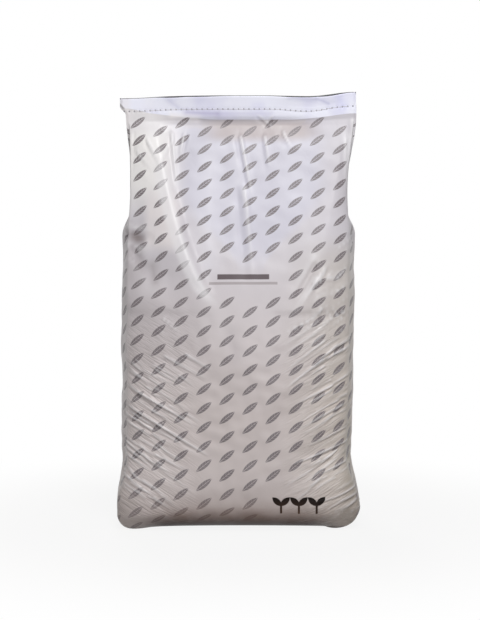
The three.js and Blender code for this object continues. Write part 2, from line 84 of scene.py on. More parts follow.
# The slack panels under the header, and the header's lips
FRONT_SLOPE, BACK_SLOPE = 0.332, 0.4
LOAD_EDGE_SOFTNESS = 34.0
SLACK_TIP, SLACK_TIP_LEVEL = 20.0, 410.0
SLACK_LEFT, SLACK_RIGHT = 165.0, 205.0
SLACK_CURVES = (0.36, 0.27)
SLACK_SHARPNESS = (0.7, 0.18)
SLACK_RIM, SLACK_RIM_WIDTH, SLACK_BROW = 10.0, 22.0, 76.0
SLACK_START, SLACK_FULL, SLACK_END_DROP = 10.0, 90.0, 50.0
FILM_LAYERS = 0.6
LIP_SLIT, LIP_PARTING, FRONT_LIP_DROP, LEAST_LIP_DROP = 0.3, 6.0, 3.6, 1.1
LEAST_PARTING = 0.15
SEAM_SAG, SEAM_SAG_PLACE, SEAM_SAG_REACH = 3.0, 130.0, 60.0
# Where the mouth gapes: middle, reach and share of its full width
GAPES = ((-124, 44, 0.9), (-78, 70, 0.6), (176, 42, 1.0), (118, 72, 0.7))
MOUTH_INSET, INSET_SPREAD, MOUTH_CLOSING = 3.0, 3, 0.7
SEAM_DROP, STITCH_LENGTH = 27.0, 10.0
SLIT_LEVEL = BAG_HEIGHT - SEAM_DROP + 7.0
PRINT_BORDER = ((-217, 797), (-169, 788), (-92, 779.6), (-40, 776), (100, 776), (150, 779.6), (223, 788))
SLOPE_START = 407.0
# The shallow valley under the header, with its reaches up and down, and the header's lean above it:
# its slope, the share of it that doesn't vary along the header, and the length of its waves
VALLEY_LEVEL = HEADER_LEVEL - 13.0
VALLEY_DEPTH, VALLEY_REACHES = 6.0, (18.0, 46.0)
LEAN, LEAN_SHARE, LEAN_WAVE = 0.16, 0.6, 70.0
BACK_SHOW = 5.0
MILLIMETRE = 0.001


def fade(value, start, end):
    """Smooth step from 0 at start to 1 at end."""
    t = np.clip((value - start) / (end - start), 0.0, 1.0)
    return t * t * (3.0 - 2.0 * t)


def bell(distance):
    """A smooth hump, 1 in its middle and 0 from a distance of 1."""
    return np.where(np.abs(distance) < 1.0, (1.0 - np.minimum(distance ** 2, 1.0)) ** 2, 0.0)


def crest(distance):
    """A pointed ridge with long flanks, as a fold in stiff film has."""
    return np.exp(-np.sqrt(distance ** 2 + 0.04) * 1.6) * bell(distance / 4.0)


def lerp(start, end, t):
    return start + (end - start) * t


def soft_lesser(first, second, softness):
    """The lesser of two values, with the corner between them rounded off."""
    overlap = np.clip(0.5 + (second - first) / (2 * softness), 0, 1)
    return lerp(second, first, overlap) - softness * overlap * (1 - overlap)


def smooth_curve(pairs):
    """A smooth curve through (position, value) pairs that never overshoots them."""
    at = np.array([pair[0] for pair in pairs], float)
    values = np.array([pair[1] for pair in pairs], float)
    slopes = np.diff(values) / np.diff(at)
    tangents = np.zeros(len(at))
    for i in range(1, len(at) - 1):
        before, after = slopes[i - 1], slopes[i]
        if before * after > 0:
            tangents[i] = 2 * before * after / (before + after)

    def curve(position):
        position = np.clip(position, at[0], at[-1])
        i = np.clip(np.searchsorted(at, position, side="right") - 1, 0, len(at) - 2)
        span = at[i + 1] - at[i]
        t = (position - at[i]) / span
        start = values[i] * (1 + 2 * t) * (1 - t) ** 2 + tangents[i] * span * t * (1 - t) ** 2
        end = values[i + 1] * t * t * (3 - 2 * t) + tangents[i + 1] * span * t * t * (t - 1)
        return start + end

    return curve


reach_left, reach_right = (smooth_curve(outline) for outline in OUTLINES)
gusset_width = smooth_curve(GUSSET_WIDTHS)
tuck_depth = smooth_curve(TUCK_DEPTHS)
gusset_bulge = smooth_curve(GUSSET_BULGES)
squareness = smooth_curve(SQUARENESS)
header_border = smooth_curve(PRINT_BORDER)
top_edge_drop = smooth_curve([
    (lerp(-HEADER_REACH[LEFT], HEADER_REACH[RIGHT], i / (len(TOP_EDGE_DROPS) - 1)), drop)
    for i, drop in enumerate(TOP_EDGE_DROPS)
])


def header_drop(x, level):
    """How far the header hangs below an even one."""
    return top_edge_drop(x) * fade(level, NECK_LEVEL, BAG_HEIGHT)


def seam_level(x):
    """Height of the stitch line at a place along the header."""
    even = BAG_HEIGHT - SEAM_DROP
    return even - header_drop(x, even) - SEAM_SAG * bell((x - SEAM_SAG_PLACE) / SEAM_SAG_REACH)


def mouth_gape(x):
    """Where the mouth's lips stand apart: 1 in its open stretches, 0 where they lie together."""
    return np.max([share * bell((x - middle) / reach) for middle, reach, share in GAPES], axis=0)


def slit_width(x, level):
    """How far the two lips part above the stitches."""
    wave = lerp(LEAST_PARTING, 1.0, mouth_gape(x))
    rise = np.maximum(0, (level - SLIT_LEVEL) / (BAG_HEIGHT - SLIT_LEVEL))
    return LIP_SLIT + (LIP_PARTING - LIP_SLIT) * wave * rise


def header_shift(x, level):
    """The header leans forward over a shallow valley above the load."""
    above = level - VALLEY_LEVEL
    across = 1 - fade(np.abs(x), SLACK_LEFT / 2, SLACK_LEFT)
    valley = VALLEY_DEPTH * across * bell(above / np.where(above > 0, *VALLEY_REACHES))
    wave = lerp(np.cos(x / LEAN_WAVE), 1.0, LEAN_SHARE)
    return valley - LEAN * np.maximum(0, above) * wave


def slack_edges(level):
    """The left and right edge of the slack front panel."""
    along = np.clip((level - SLACK_TIP_LEVEL) / (HEADER_LEVEL - SLACK_TIP_LEVEL), 0, 1)
    left = SLACK_TIP - (SLACK_TIP + SLACK_LEFT) * along ** SLACK_CURVES[LEFT]
    right = SLACK_TIP + (SLACK_RIGHT - SLACK_TIP) * along ** SLACK_CURVES[RIGHT]
    return left, right


def panel_depth(level, slope):
    slack = FILM_LAYERS + slope * np.maximum(0, HEADER_LEVEL - level)
    return soft_lesser(slack, BODY_DEPTH / 2, LOAD_EDGE_SOFTNESS)


def front_depth(x, level):
    """How far the front film stands out in front of the middle plane."""
    deepest = panel_depth(level, FRONT_SLOPE)
    edge = gusset_width(level) / 2
    presence = fade(level, SLACK_TIP_LEVEL + SLACK_START, SLACK_TIP_LEVEL + SLACK_FULL)
    presence = presence * (1 - fade(level, HEADER_LEVEL - SLACK_END_DROP, HEADER_LEVEL))
    left, right = slack_edges(level)
    on_left = x < (left + right) / 2
    beyond = np.where(on_left, left - x, x - right)
    flank = np.where(on_left, left + reach_left(level), reach_right(level) - right)
    t = np.clip(beyond / flank, 0, 1)
    power = squareness(level)
    sharpness = presence * np.where(on_left, *SLACK_SHARPNESS)
    fall = sharpness * t + (1 - sharpness) * (1 - (1 - t ** power) ** (1 / power))
    curl = np.where(beyond < 0, fade(beyond, -SLACK_RIM_WIDTH, 0), bell(beyond / SLACK_BROW))
    rim = np.where(on_left, SLACK_RIM * presence * curl, 0.0)
    return deepest - (deepest - edge) * fall + rim


def back_depth(x, level):
    deepest = panel_depth(level, BACK_SLOPE)
    edge = gusset_width(level) / 2
    reach = np.where(x < 0, reach_left(level), reach_right(level))
    t = np.clip(np.abs(x) / reach, 0, 1)
    power = squareness(level)
    return edge + (deepest - edge) * (1 - t ** power) ** (1 / power)


# Folds in the front film, in millimetres: start (x, z), end (x, z), bow, height and width.
# Past a gusset crease x runs on round the corner. A fold with a height below 0 is a soft dent.
FOLD_GAIN, VALLEY_SHARE, VALLEY_STEP = 1.6, 0.8, 1.5
LOAD_FOLDS = (
    ((-196, 266), (-84, 203), 0, 3.2, 2.8), ((-183, 253), (-107, 206), 0, 1.8, 2.3),
    ((-216, 240), (-55, 144), 0, 5.0, 2.9), ((-207, 226), (-115, 173), 0, 3.2, 2.8),
    ((-231, 228), (-144, 181), 0, 3.6, 2.8), ((-225, 212), (-159, 175), 0, 2.4, 2.3),
    ((-237, 182), (-149, 121), 0, 3.2, 2.3), ((-231, 167), (-159, 119), 0, 2.8, 2.3),
    ((-233, 154), (-168, 115), 0, 2.4, 2.2), ((-222, 178), (-134, 130), 0, 2.0, 2.3),
    ((-239, 129), (-144, 66), -10, 2.8, 2.3), ((-236, 117), (-159, 73), -8, 2.8, 2.3),
    ((-233, 104), (-168, 70), -6, 2.4, 2.2), ((-211, 120), (-152, 81), -6, 1.8, 2.2),
    ((-144, 333), (-55, 287), 0, 1.9, 5.6), ((-102, 336), (-48, 304), 0, 1.6, 4.2),
    ((-113, 296), (-82, 273), 0, 1.3, 2.8), ((-132, 239), (-102, 219), 0, 1.6, 2.3),
    ((-100, 224), (-73, 207), 0, 1.3, 2.3), ((-144, 402), (-110, 375), 0, 1.4, 3.7),
    ((-159, 306), (-94, 268), 0, 1.0, 3.3), ((-185, 307), (-123, 274), 0, 1.1, 3.3),
    ((207, 344), (88, 268), 8, 3.1, 2.9), ((225, 369), (160, 331), 0, 3.2, 2.8),
    ((220, 353), (171, 323), 0, 2.4, 2.3), ((164, 313), (129, 290), 0, 2.1, 2.3),
    ((181, 276), (105, 240), 0, 2.6, 3.3), ((229, 302), (181, 271), 0, 2.1, 2.8),
    ((222, 202), (130, 161), 0, 2.9, 2.8), ((231, 178), (96, 127), -2, 3.4, 2.8),
    ((236, 144), (146, 105), 0, 3.2, 2.8), ((229, 125), (171, 102), 0, 2.1, 2.3),
    ((239, 98), (136, 55), -8, 3.4, 2.3), ((233, 78), (181, 57), -4, 2.1, 2.3),
    ((236, 240), (162, 211), 0, 1.8, 2.8), ((240, 60), (197, 31), -5, 1.9, 2.2),
    ((242, 46), (205, 24), -4, 1.6, 2.2),
)
UPPER_FOLDS = (
    ((-236, 558), (-158, 547), 0, -8.0, 10.0),
    ((136, 458), (208, 474), 9, 4.2, 5.0), ((-225, 539), (-184, 521), 0, 3.0, 3),
    ((-222, 574), (-190, 553), 0, 3.0, 3), ((-212, 538), (-153, 464), 0, -5.0, 18),
    ((230, 561), (186, 530), 0, 4.0, 3), ((230, 542), (194, 521), 0, 3.0, 2.4),
    ((226, 584), (200, 552), 0, 2.5, 3), ((148, 506), (98, 423), 0, -5.5, 8.4),
    ((167, 497), (116, 426), 0, 2.4, 4.8), ((207, 496), (163, 451), 0, 2.0, 3.6),
    ((213, 465), (155, 436), 0, 2.0, 3.6), ((11, 655), (28, 466), 0, 3.2, 10.0),
    ((3, 750), (27, 621), 0, 3.0, 4.8), ((50, 749), (59, 681), 0, 1.8, 4.8),
    ((84, 754), (101, 723), 0, 2.0, 4.2), ((-129, 756), (-117, 641), 0, 3.4, 4.2),
    ((-177, 739), (-149, 689), 0, 2.6, 3.6), ((-197, 715), (-164, 679), 0, 2.2, 3.6),
    ((-126, 737), (-158, 679), 0, 2.2, 3.6), ((-104, 749), (-112, 703), 0, 2.2, 3),
    ((-206, 756), (-209, 632), 0, 1.8, 3.6), ((206, 744), (203, 641), 0, 1.8, 3.6),
    ((34, 788), (64, 763), 0, 2.0, 3), ((68, 786), (46, 760), 0, 2.0, 2.4),
)
# Scattered small folds: seed, count, side, and the ranges of levels, lengths, heights and widths
FRONT_SCATTER = (
    (11, 52, -1, (60, 330), (35, 110), (0.6, 2.0), (2.2, 4.5)),
    (12, 60, 1, (50, 450), (30, 110), (0.6, 2.0), (2.2, 4.5)),
)
BACK_SCATTER = (
    (21, 26, -1, (60, 400), (50, 150), (1.0, 4.5), (5, 9)),
    (22, 26, 1, (60, 400), (50, 150), (1.0, 4.5), (5, 9)),
)
START_REACHES, DRAG_SLOPES = (150, 246), (24, 42)
CREASE_HEIGHT, CREASE_SPAN = 1.6, 3
CREASE_SHARE, CREASE_REACH = 0.4, 17.0
# Lumps: the sizes and heights of the broad, the fine and the side ones, and their share on the slack panel
LUMPS, FINE_LUMPS, SIDE_LUMPS = ((70, 160), 1.0), ((22, 45), 0.35), ((60, 110), 1.2)
SLACK_LUMP_SHARE, SLACK_LUMP_FADE = 0.6, (420, 560)
SIDE_LUMP_STRETCH = (1.5, 0.5)
# Levels between which the folds and the lumps set in above the base, and end below the header
FOLD_START, FOLD_END = (2, 26), (HEADER_LEVEL - 8, HEADER_LEVEL + 12)
LUMP_START, LUMP_END = (4, 30), (NECK_LEVEL, HEADER_LEVEL + 8)
# The painted highlight along the ridge at the slack panel's left edge, and the painted reflection of the
# sky on the panel:
# half-widths, with the levels between which they widen, and the levels between which the reflection sets in
RIDGE_OFFSET, RIDGE_REACH, RIDGE_GAIN, RIDGE_FADE = 5.0, 19.0, 1.5, (610, 740)
RIDGE_START, RIDGE_LOSS = (SLACK_TIP_LEVEL + 5, SLACK_TIP_LEVEL + 50), 0.75
BLUE_MIDDLE, BLUE_HALVES, BLUE_WIDENING, BLUE_FADE = 24.0, (24.0, 150.0), (480, 650), (470, 540)
BLUE_RIM = (0.72, 1.1)
DENT_SHADOW_STRENGTH = 2.1
# Painted shadows in the dents where the gussets buckle at the shoulders: place (x, z), slope, reach, height
# and strength
SHOULDER_DENT_SHADOWS = ((-193.0, 550.0, -0.2, 36.0, 21.0, 1.0), (196.0, 546.0, 0.6, 12.0, 14.0, 0.55))


def fold_relief(x, level, folds):
    """How far the film stands out because of the folds: each has its valley below its ridge."""
    relief = np.zeros(np.broadcast(x, level).shape)
    for (start_x, start_z), (end_x, end_z), bow, height, width in folds:
        length = math.hypot(end_x - start_x, end_z - start_z)
        dir_x, dir_z = (end_x - start_x) / length, (end_z - start_z) / length
        along = ((x - start_x) * dir_x + (level - start_z) * dir_z) / length
        inside = np.clip(along, 0, 1)
        facing = 1.0 if dir_x > 0 else -1.0
        up = facing * ((level - start_z) * dir_x - (x - start_x) * dir_z)
        up = up - bow * 4 * inside * (1 - inside)
        shape = crest(up / width)
        if height > 0:
            shape = shape - VALLEY_SHARE * crest(up / width + VALLEY_STEP)
        taper = fade(inside, 0, 0.12) * (1 - inside) ** 0.7
        relief += FOLD_GAIN * height * shape * taper
    return relief


def scattered_folds(seed, count, side, levels, lengths, heights, widths):
    """Small drag folds that run down and inwards from one gusset crease."""
    rng = np.random.default_rng(seed)
    folds = []
    for _ in range(count):
        start_x = rng.uniform(*START_REACHES)
        start_z = rng.uniform(*levels)
        length = rng.uniform(*lengths)
        slope = math.radians(rng.uniform(*DRAG_SLOPES))
        end = (start_x - length * math.cos(slope), start_z - length * math.sin(slope))
        folds.append(((side * start_x, start_z), (side * end[0], end[1]), rng.uniform(-3, 3),
                      rng.uniform(*heights), rng.uniform(*widths)))
    return folds


def soft_noise(seed, x, level, wavelengths, height, waves=28):
    """Smooth random relief with bumps of the given sizes, up to about the height."""
    rng = np.random.default_rng(seed)
    relief = np.zeros(np.broadcast(x, level).shape)
    for _ in range(waves):
        turn = rng.uniform(0, 2 * math.pi)
        number = 2 * math.pi / rng.uniform(*wavelengths)
        along = x * math.cos(turn) + level * math.sin(turn)
        relief += np.sin(number * along + rng.uniform(0, 2 * math.pi))
    return height * relief / math.sqrt(waves)


# The film's grid: columns counted round the bag from the front's left crease, and rows counted up
# from the base. Above LOAD_TOP the rows lie further apart, and above SLACK_TOP closer again.
FRONT_COLUMNS, GUSSET_COLUMNS, BACK_COLUMNS = 204, 28, 62
FOOT_ROWS, LOAD_ROWS, SLACK_ROWS, HEADER_ROWS, MOUTH_ROWS = 12, 186, 68, 28, 8
LOAD_TOP, SLACK_TOP = 345.0, 762.0
EDGE_CROWDING = 0.3
# The width on the print of the gussets' last column beside the back, in metres
GUSSET_STEP = 0.004
FRONT, RIGHT_GUSSET, BACK, LEFT_GUSSET = range(4)


def film_columns():
    """For each column: the panel that it lies on, and its share of that panel's width."""
    panels, shares = [], []
    for panel, count in enumerate((FRONT_COLUMNS, GUSSET_COLUMNS, BACK_COLUMNS, GUSSET_COLUMNS)):
        for i in range(count):
            panels.append(panel)
            shares.append(i / count)
    return np.array(panels), np.array(shares)


PANELS, SHARES = film_columns()
ON_FRONT, ON_BACK, ON_RIGHT_GUSSET = PANELS == FRONT, PANELS == BACK, PANELS == RIGHT_GUSSET


def foot_value(on_panel, on_gussets, at_corners):
    """A value of each column that differs between the panels, the gussets and the four corners."""
    on_right = ON_RIGHT_GUSSET | (ON_FRONT & (SHARES >= 0.5)) | (ON_BACK & (SHARES < 0.5))
    plain = np.where(ON_FRONT | ON_BACK, on_panel, np.where(on_right, *on_gussets[::-1]))
    return lerp(plain, np.where(on_right, *at_corners[::-1]), (2 * SHARES - 1) ** 2)


FOOT_RISE = foot_value(PANEL_RISE, GUSSET_RISES, CORNER_RISES)
FOOT_TURN = foot_value(PANEL_TURN, GUSSET_TURNS, CORNER_TURNS)
# -1 on the front lip, 1 on the back lip, and between the two across the ends of the mouth
FACING = np.select([ON_FRONT, ON_BACK], [-1.0, 1.0],
                   np.where(ON_RIGHT_GUSSET, 2 * SHARES - 1, 1 - 2 * SHARES))


def section(level):
    """The film's outline at one level for each column, as x and y."""
    left, right = reach_left(level), reach_right(level)
    back_extra = BACK_SHOW * fade(level, WAIST_LEVEL, HEADER_LEVEL)
    crowded = SHARES + EDGE_CROWDING * np.sin(2 * math.pi * (SHARES - 0.5)) / (2 * math.pi)
    front_x = lerp(-left, right, crowded)
    across = np.cos(math.pi * SHARES)
    back_reach = np.where(across < 0, left, right)
    off = np.abs(2 * SHARES - 1)
    out = gusset_bulge(level) * (1 - off ** 2) - tuck_depth(level) * (1 - off)
    out = out + back_extra * np.where(ON_RIGHT_GUSSET, SHARES, 1 - SHARES)
    side = np.where(ON_RIGHT_GUSSET, 1.0, -1.0)
    gusset_x = side * (np.where(ON_RIGHT_GUSSET, right, left) + out)
    gusset_y = (2 * SHARES - 1) * side * gusset_width(level) / 2
    front_y, back_y = -front_depth(front_x, level), back_depth(across * back_reach, level)
    x = np.select([ON_FRONT, ON_BACK], [front_x, across * (back_reach + back_extra)], gusset_x)
    y = np.select([ON_FRONT, ON_BACK], [front_y, back_y], gusset_y)
    return x, y


def film_rows():
    """Each row's height up the bag: 0 to 1 round the bottom edge, and 1 to 2 up to the cut edge."""
    load_top, slack_top = 1 + LOAD_TOP / BAG_HEIGHT, 1 + SLACK_TOP / BAG_HEIGHT
    spans = ((0, 1, FOOT_ROWS), (1, load_top, LOAD_ROWS), (load_top, slack_top, SLACK_ROWS))
    rows = [np.linspace(start, end, count, endpoint=False) for start, end, count in spans]
    return np.concatenate([*rows, np.linspace(slack_top, 2, HEADER_ROWS + 1)])


def film_skin():
    """The film's outer skin as arrays of x, y and z, with a row for each height."""
    ups = film_rows()[:, None]
    angle = np.minimum(ups, 1) * math.pi / 2
    even = lerp(FOOT_RISE, BAG_HEIGHT, np.maximum(ups, 1) - 1)
    x, y = section(even)
    on_lip = np.maximum(-FACING, 0) * fade(even, SLIT_LEVEL, BAG_HEIGHT)
    lip_drop = on_lip * lerp(LEAST_LIP_DROP, FRONT_LIP_DROP, mouth_gape(x))
    level = even - header_drop(x, even) - lip_drop
    parting = FACING * slit_width(x, even) / 2 * fade(even, HEADER_LEVEL, SLIT_LEVEL)
    inward_x = np.sign(x) * np.abs(x / np.where(x < 0, *FOOT_REACH)) ** 5
    inward_y = np.sign(y) * np.abs(y / (BODY_DEPTH / 2)) ** 5
    tucked = FOOT_TURN * (1 - np.sin(angle)) / (np.hypot(inward_x, inward_y) + 1e-9)
    z = np.where(ups < 1, FOOT_RISE * (1 - np.cos(angle)), level)
    x = x - tucked * inward_x
    y = y - tucked * inward_y + np.where(ups < 1, 0, parting + header_shift(x, level))
    return x, y, z


def outward(x, y, z):
    """Unit normals of the grid, pointing out of the bag."""
    points = np.stack([x, y, z], axis=-1)
    across = np.roll(points, -1, axis=1) - np.roll(points, 1, axis=1)
    upward = np.gradient(points, axis=0)
    normal = np.cross(across, upward)
    return normal / (np.linalg.norm(normal, axis=-1, keepdims=True) + 1e-9)


def unrolled(x, y, level):
    """The distance from the front's middle, running on round the gusset crease."""
    past = np.abs(y + gusset_width(level) / 2)
    return np.where(ON_FRONT | ON_BACK, x, np.sign(x) * (np.abs(x) + past))


def add_relief(x, y, z):
    """Pushes the skin in and out along its normals for folds, lumps and fine crumples, and gives its
    painted highlight and shadow.
    """
    normal = outward(x, y, z)
    across = unrolled(x, y, z)
    drag = [fold for row in FRONT_SCATTER for fold in scattered_folds(*row)]
    behind = [fold for row in BACK_SCATTER for fold in scattered_folds(*row)]
    front = fold_relief(across, z, [*LOAD_FOLDS, *drag, *UPPER_FOLDS])
    side = soft_noise(31, y * SIDE_LUMP_STRETCH[0], z * SIDE_LUMP_STRETCH[1], *SIDE_LUMPS)
    side = side * fade(z, FOOT_LEVEL, 3 * FOOT_LEVEL)
    relief = np.select([ON_FRONT, ON_BACK], [front, fold_relief(x, z, behind)], front * (y < 0) + side)
    relief = relief * (1 - fade(z, *FOLD_END)) * fade(z, *FOLD_START)
    relief = relief * crease_calm(x, y)
    # How sharply each fold bends, which the colour shows as a painted highlight on its crest and a painted
    # shadow in its valley
    creases = crease_sharpness(relief)
    lumps = soft_noise(41, x, z, *LUMPS) + soft_noise(42, x, z, *FINE_LUMPS)
    calm = fade(z, *LUMP_START) * (1 - fade(z, *LUMP_END))
    relief = relief + lumps * calm * lerp(1.0, SLACK_LUMP_SHARE, fade(z, *SLACK_LUMP_FADE))
    moved = [plain + normal[..., axis] * relief for axis, plain in enumerate((x, y, z))]
    # A painted highlight along the ridge at the slack panel's left edge
    creases = np.maximum(creases, painted_ridge_highlight(x, z) * ON_FRONT)
    # A painted shadow in the dents where the gussets buckle at the shoulders
    return moved, np.minimum(creases, 1 - DENT_SHADOW_STRENGTH * shoulder_dent_shadow(x, z) * (y < 0))


def crease_sharpness(relief):
    """How sharply the film bends: up to 1 on a fold's crest, down to -1 in its valley."""
    steps = [(step, axis) for step in (-CREASE_SPAN, CREASE_SPAN) for axis in (0, 1)]
    around = sum(np.roll(relief, step, axis) for step, axis in steps) / len(steps)
    return np.clip((relief - around) / CREASE_HEIGHT, -1, 1)


def shoulder_dent_shadow(x, level):
    """How much painted shadow lies in the dents where the gussets buckle at the shoulders, up to 1."""
    return sum(strength * bell((x - at_x) / reach) * bell((level - at_z - slope * (x - at_x)) / height)
               for at_x, at_z, slope, reach, height, strength in SHOULDER_DENT_SHADOWS)


def crease_calm(x, y):
    """How much of a fold stays near the gusset creases, where the film is stretched over a corner."""
    left, right = x[:, :1], x[:, FRONT_COLUMNS:FRONT_COLUMNS + 1]
    from_crease = np.where(ON_FRONT, np.minimum(x - left, right - x), np.abs(y - y[:, :1]))
    return lerp(CREASE_SHARE, 1.0, fade(from_crease, 0, CREASE_REACH))


def painted_ridge_highlight(x, level):
    """The painted highlight along the stretched ridge at the left edge of the slack panel: 1 along it,
    fading out at its ends.
    """
    left, _ = slack_edges(level)
    along = fade(level, *RIDGE_START) * (1 - RIDGE_LOSS * fade(level, *RIDGE_FADE))
    return RIDGE_GAIN * along * bell((x - left + RIDGE_OFFSET) / RIDGE_REACH)


def slack_sky_reflection(x, level):
    """The painted reflection of the sky on the slack panel: 1 where it faces up a little, 0 on the taut
    film.
    """
    half = lerp(*BLUE_HALVES, fade(level, *BLUE_WIDENING))
    aside = np.abs(x - BLUE_MIDDLE)
    return fade(level, *BLUE_FADE) * (1 - fade(aside, half * BLUE_RIM[0], half * BLUE_RIM[1]))


def mouth_rows(cut_edge):
    """The inner skin, from the cut edges down to the stitches, as rows that follow the outer ones."""
    rows = []
    for t in np.linspace(0, 1, MOUTH_ROWS):
        even = lerp(BAG_HEIGHT, SLIT_LEVEL, t)
        x, _ = section(even)
        x = x * (1 - MOUTH_INSET / HEADER_REACH[LEFT] * min(1, INSET_SPREAD * t))
        level = np.minimum(even - header_drop(x, even), cut_edge)
        half = slit_width(x, even) / 2 * (1 - MOUTH_CLOSING * t)
        rows.append((x, FACING * half + header_shift(x, level), level))
    return [np.stack([row[axis] for row in rows]) for axis in range(3)]


def closing_strip(first, faces_up):
    """Triangles between the front half and the back half of one ring of vertices."""
    past_all = 9
    by_front, by_back = (PANELS + SHARES + 0.5) % 4, (7.5 - PANELS - SHARES) % 4
    front = [int(i) for i in np.argsort(by_front, kind="stable") if by_front[i] <= 2]
    back = [int(i) for i in np.argsort(by_back, kind="stable") if by_back[i] <= 2]
    next_front, next_back = [*by_front[front[1:]], past_all], [*by_back[back[1:]], past_all]
    faces = []
    i = j = 0
    while i < len(front) - 1 or j < len(back) - 1:
        step_front = next_front[i] <= next_back[j]
        apex = front[i + 1] if step_front else back[j + 1]
        face = [first + front[i], first + apex, first + back[j]]
        if len(set(face)) == 3:
            faces.append(face if faces_up else face[::-1])
        i, j = (i + 1, j) if step_front else (i, j + 1)
    return faces


def print_coordinates(x, y, z):
    """Flat places on the film for the print: across from the front's middle, and up from the base."""
    step = np.hypot(np.diff(x, axis=1, append=x[:, :1]), np.diff(y, axis=1, append=y[:, :1]))
    ends = np.cumsum(step, axis=1)
    across = ends - step
    front = slice(FRONT_COLUMNS)
    middle = [np.interp(0.0, row_x[front], row[front]) for row_x, row in zip(x, across)]
    across = across - np.array(middle)[:, None]
    across = np.where(PANELS == LEFT_GUSSET, across - ends[:, -1:], across)
    stretch = math.hypot(1, FRONT_SLOPE) - 1
    upward = z + stretch * np.maximum(0, z - SLOPE_START)
    arc = math.pi / 4 * (FOOT_RISE + FOOT_TURN)
    ups = film_rows()[:, None]
    return across, np.where(ups < 1, FOOT_RISE - arc * (1 - ups), upward)


def with_mouth(values):
    """Values of all vertices, in metres: the inner skin takes those of the cut edge."""
    return np.concatenate([values, np.repeat(values[-1:], MOUTH_ROWS, 0)]) * MILLIMETRE


def lay_print(mesh, quad_count, x, across, upward):
    """Unwraps the film for its print: the back on its own, and the gussets on from the front."""
    columns = len(PANELS)
    corners = np.zeros(len(mesh.loops), np.int32)
    mesh.loops.foreach_get("vertex_index", corners)
    across, upward, back_across = with_mouth(across), with_mouth(upward), with_mouth(-x)
    first_back = FRONT_COLUMNS + GUSSET_COLUMNS
    after_back = first_back + BACK_COLUMNS
    quad_columns = np.repeat(np.arange(quad_count) % columns, 4)
    on_back = np.zeros(len(corners), bool)
    on_back[:len(quad_columns)] = (quad_columns >= first_back) & (quad_columns < after_back)
    u = np.where(on_back, back_across.ravel()[corners], across.ravel()[corners])
    for edge, side in ((first_back, -1), (after_back, 1)):
        at_edge = (corners % columns == edge) & ~on_back
        u = np.where(at_edge, across[corners // columns, edge + side] - side * GUSSET_STEP, u)
    layer = mesh.uv_layers.new(name="print_place")
    places = np.stack([u, upward.ravel()[corners]], axis=-1).astype(np.float32)
    layer.data.foreach_set("uv", places.ravel())


def new_object(name, data):
    thing = bpy.data.objects.new(name, data)
    bpy.context.collection.objects.link(thing)
    return thing


def set_attribute(mesh, name, values):
    attribute = mesh.attributes.new(name, "FLOAT", "POINT")
    attribute.data.foreach_set("value", np.asarray(values, np.float32).ravel())


def film_mesh(fold_strength):
    """The whole film as one closed mesh with its print coordinates and two material places."""
    x, y, z = film_skin()
    folded, creases = add_relief(x, y, z)
    outer = [lerp(plain, moved, fold_strength) for plain, moved in zip((x, y, z), folded)]
    inner = mouth_rows(outer[2][-1])
    points = np.stack([np.concatenate(pair) for pair in zip(outer, inner)], axis=-1)
    rows, columns = points.shape[:2]
    faces = []
    for start in range(0, (rows - 1) * columns, columns):
        for column in range(columns):
            following = (column + 1) % columns
            faces.append((start + column, start + following,
                          start + columns + following, start + columns + column))
    base = closing_strip(0, False)
    floor = closing_strip((rows - 1) * columns, True)
    mesh = bpy.data.meshes.new("filled_bag_film")
    flat = points.reshape(-1, 3)
    mesh.from_pydata((flat * MILLIMETRE).tolist(), [], faces + base + floor)
    lay_print(mesh, len(faces), x, *print_coordinates(x, y, z))
    x, y, z = flat.T
    set_attribute(mesh, "header_line", (z - header_border(x)) * MILLIMETRE)
    set_attribute(mesh, "seam_line", (z - seam_level(x)) * MILLIMETRE)
    # The painted reflection of the sky on the slack front panel
    set_attribute(mesh, "slack_sky_reflection", slack_sky_reflection(x, z) * (y < 0))
    # The painted highlight and shadow of the folds, of the left ridge and of the shoulder dents
    set_attribute(mesh, "crease", np.concatenate([creases, np.zeros((MOUTH_ROWS, columns))]))
    places = np.zeros(len(mesh.polygons), np.int32)
    places[(len(outer[0]) - 1) * columns:len(faces)] = 1
    places[len(faces) + len(base):] = 1
    mesh.polygons.foreach_set("material_index", places)
    mesh.shade_smooth()
    mesh.validate()
    mesh.update()
    return mesh


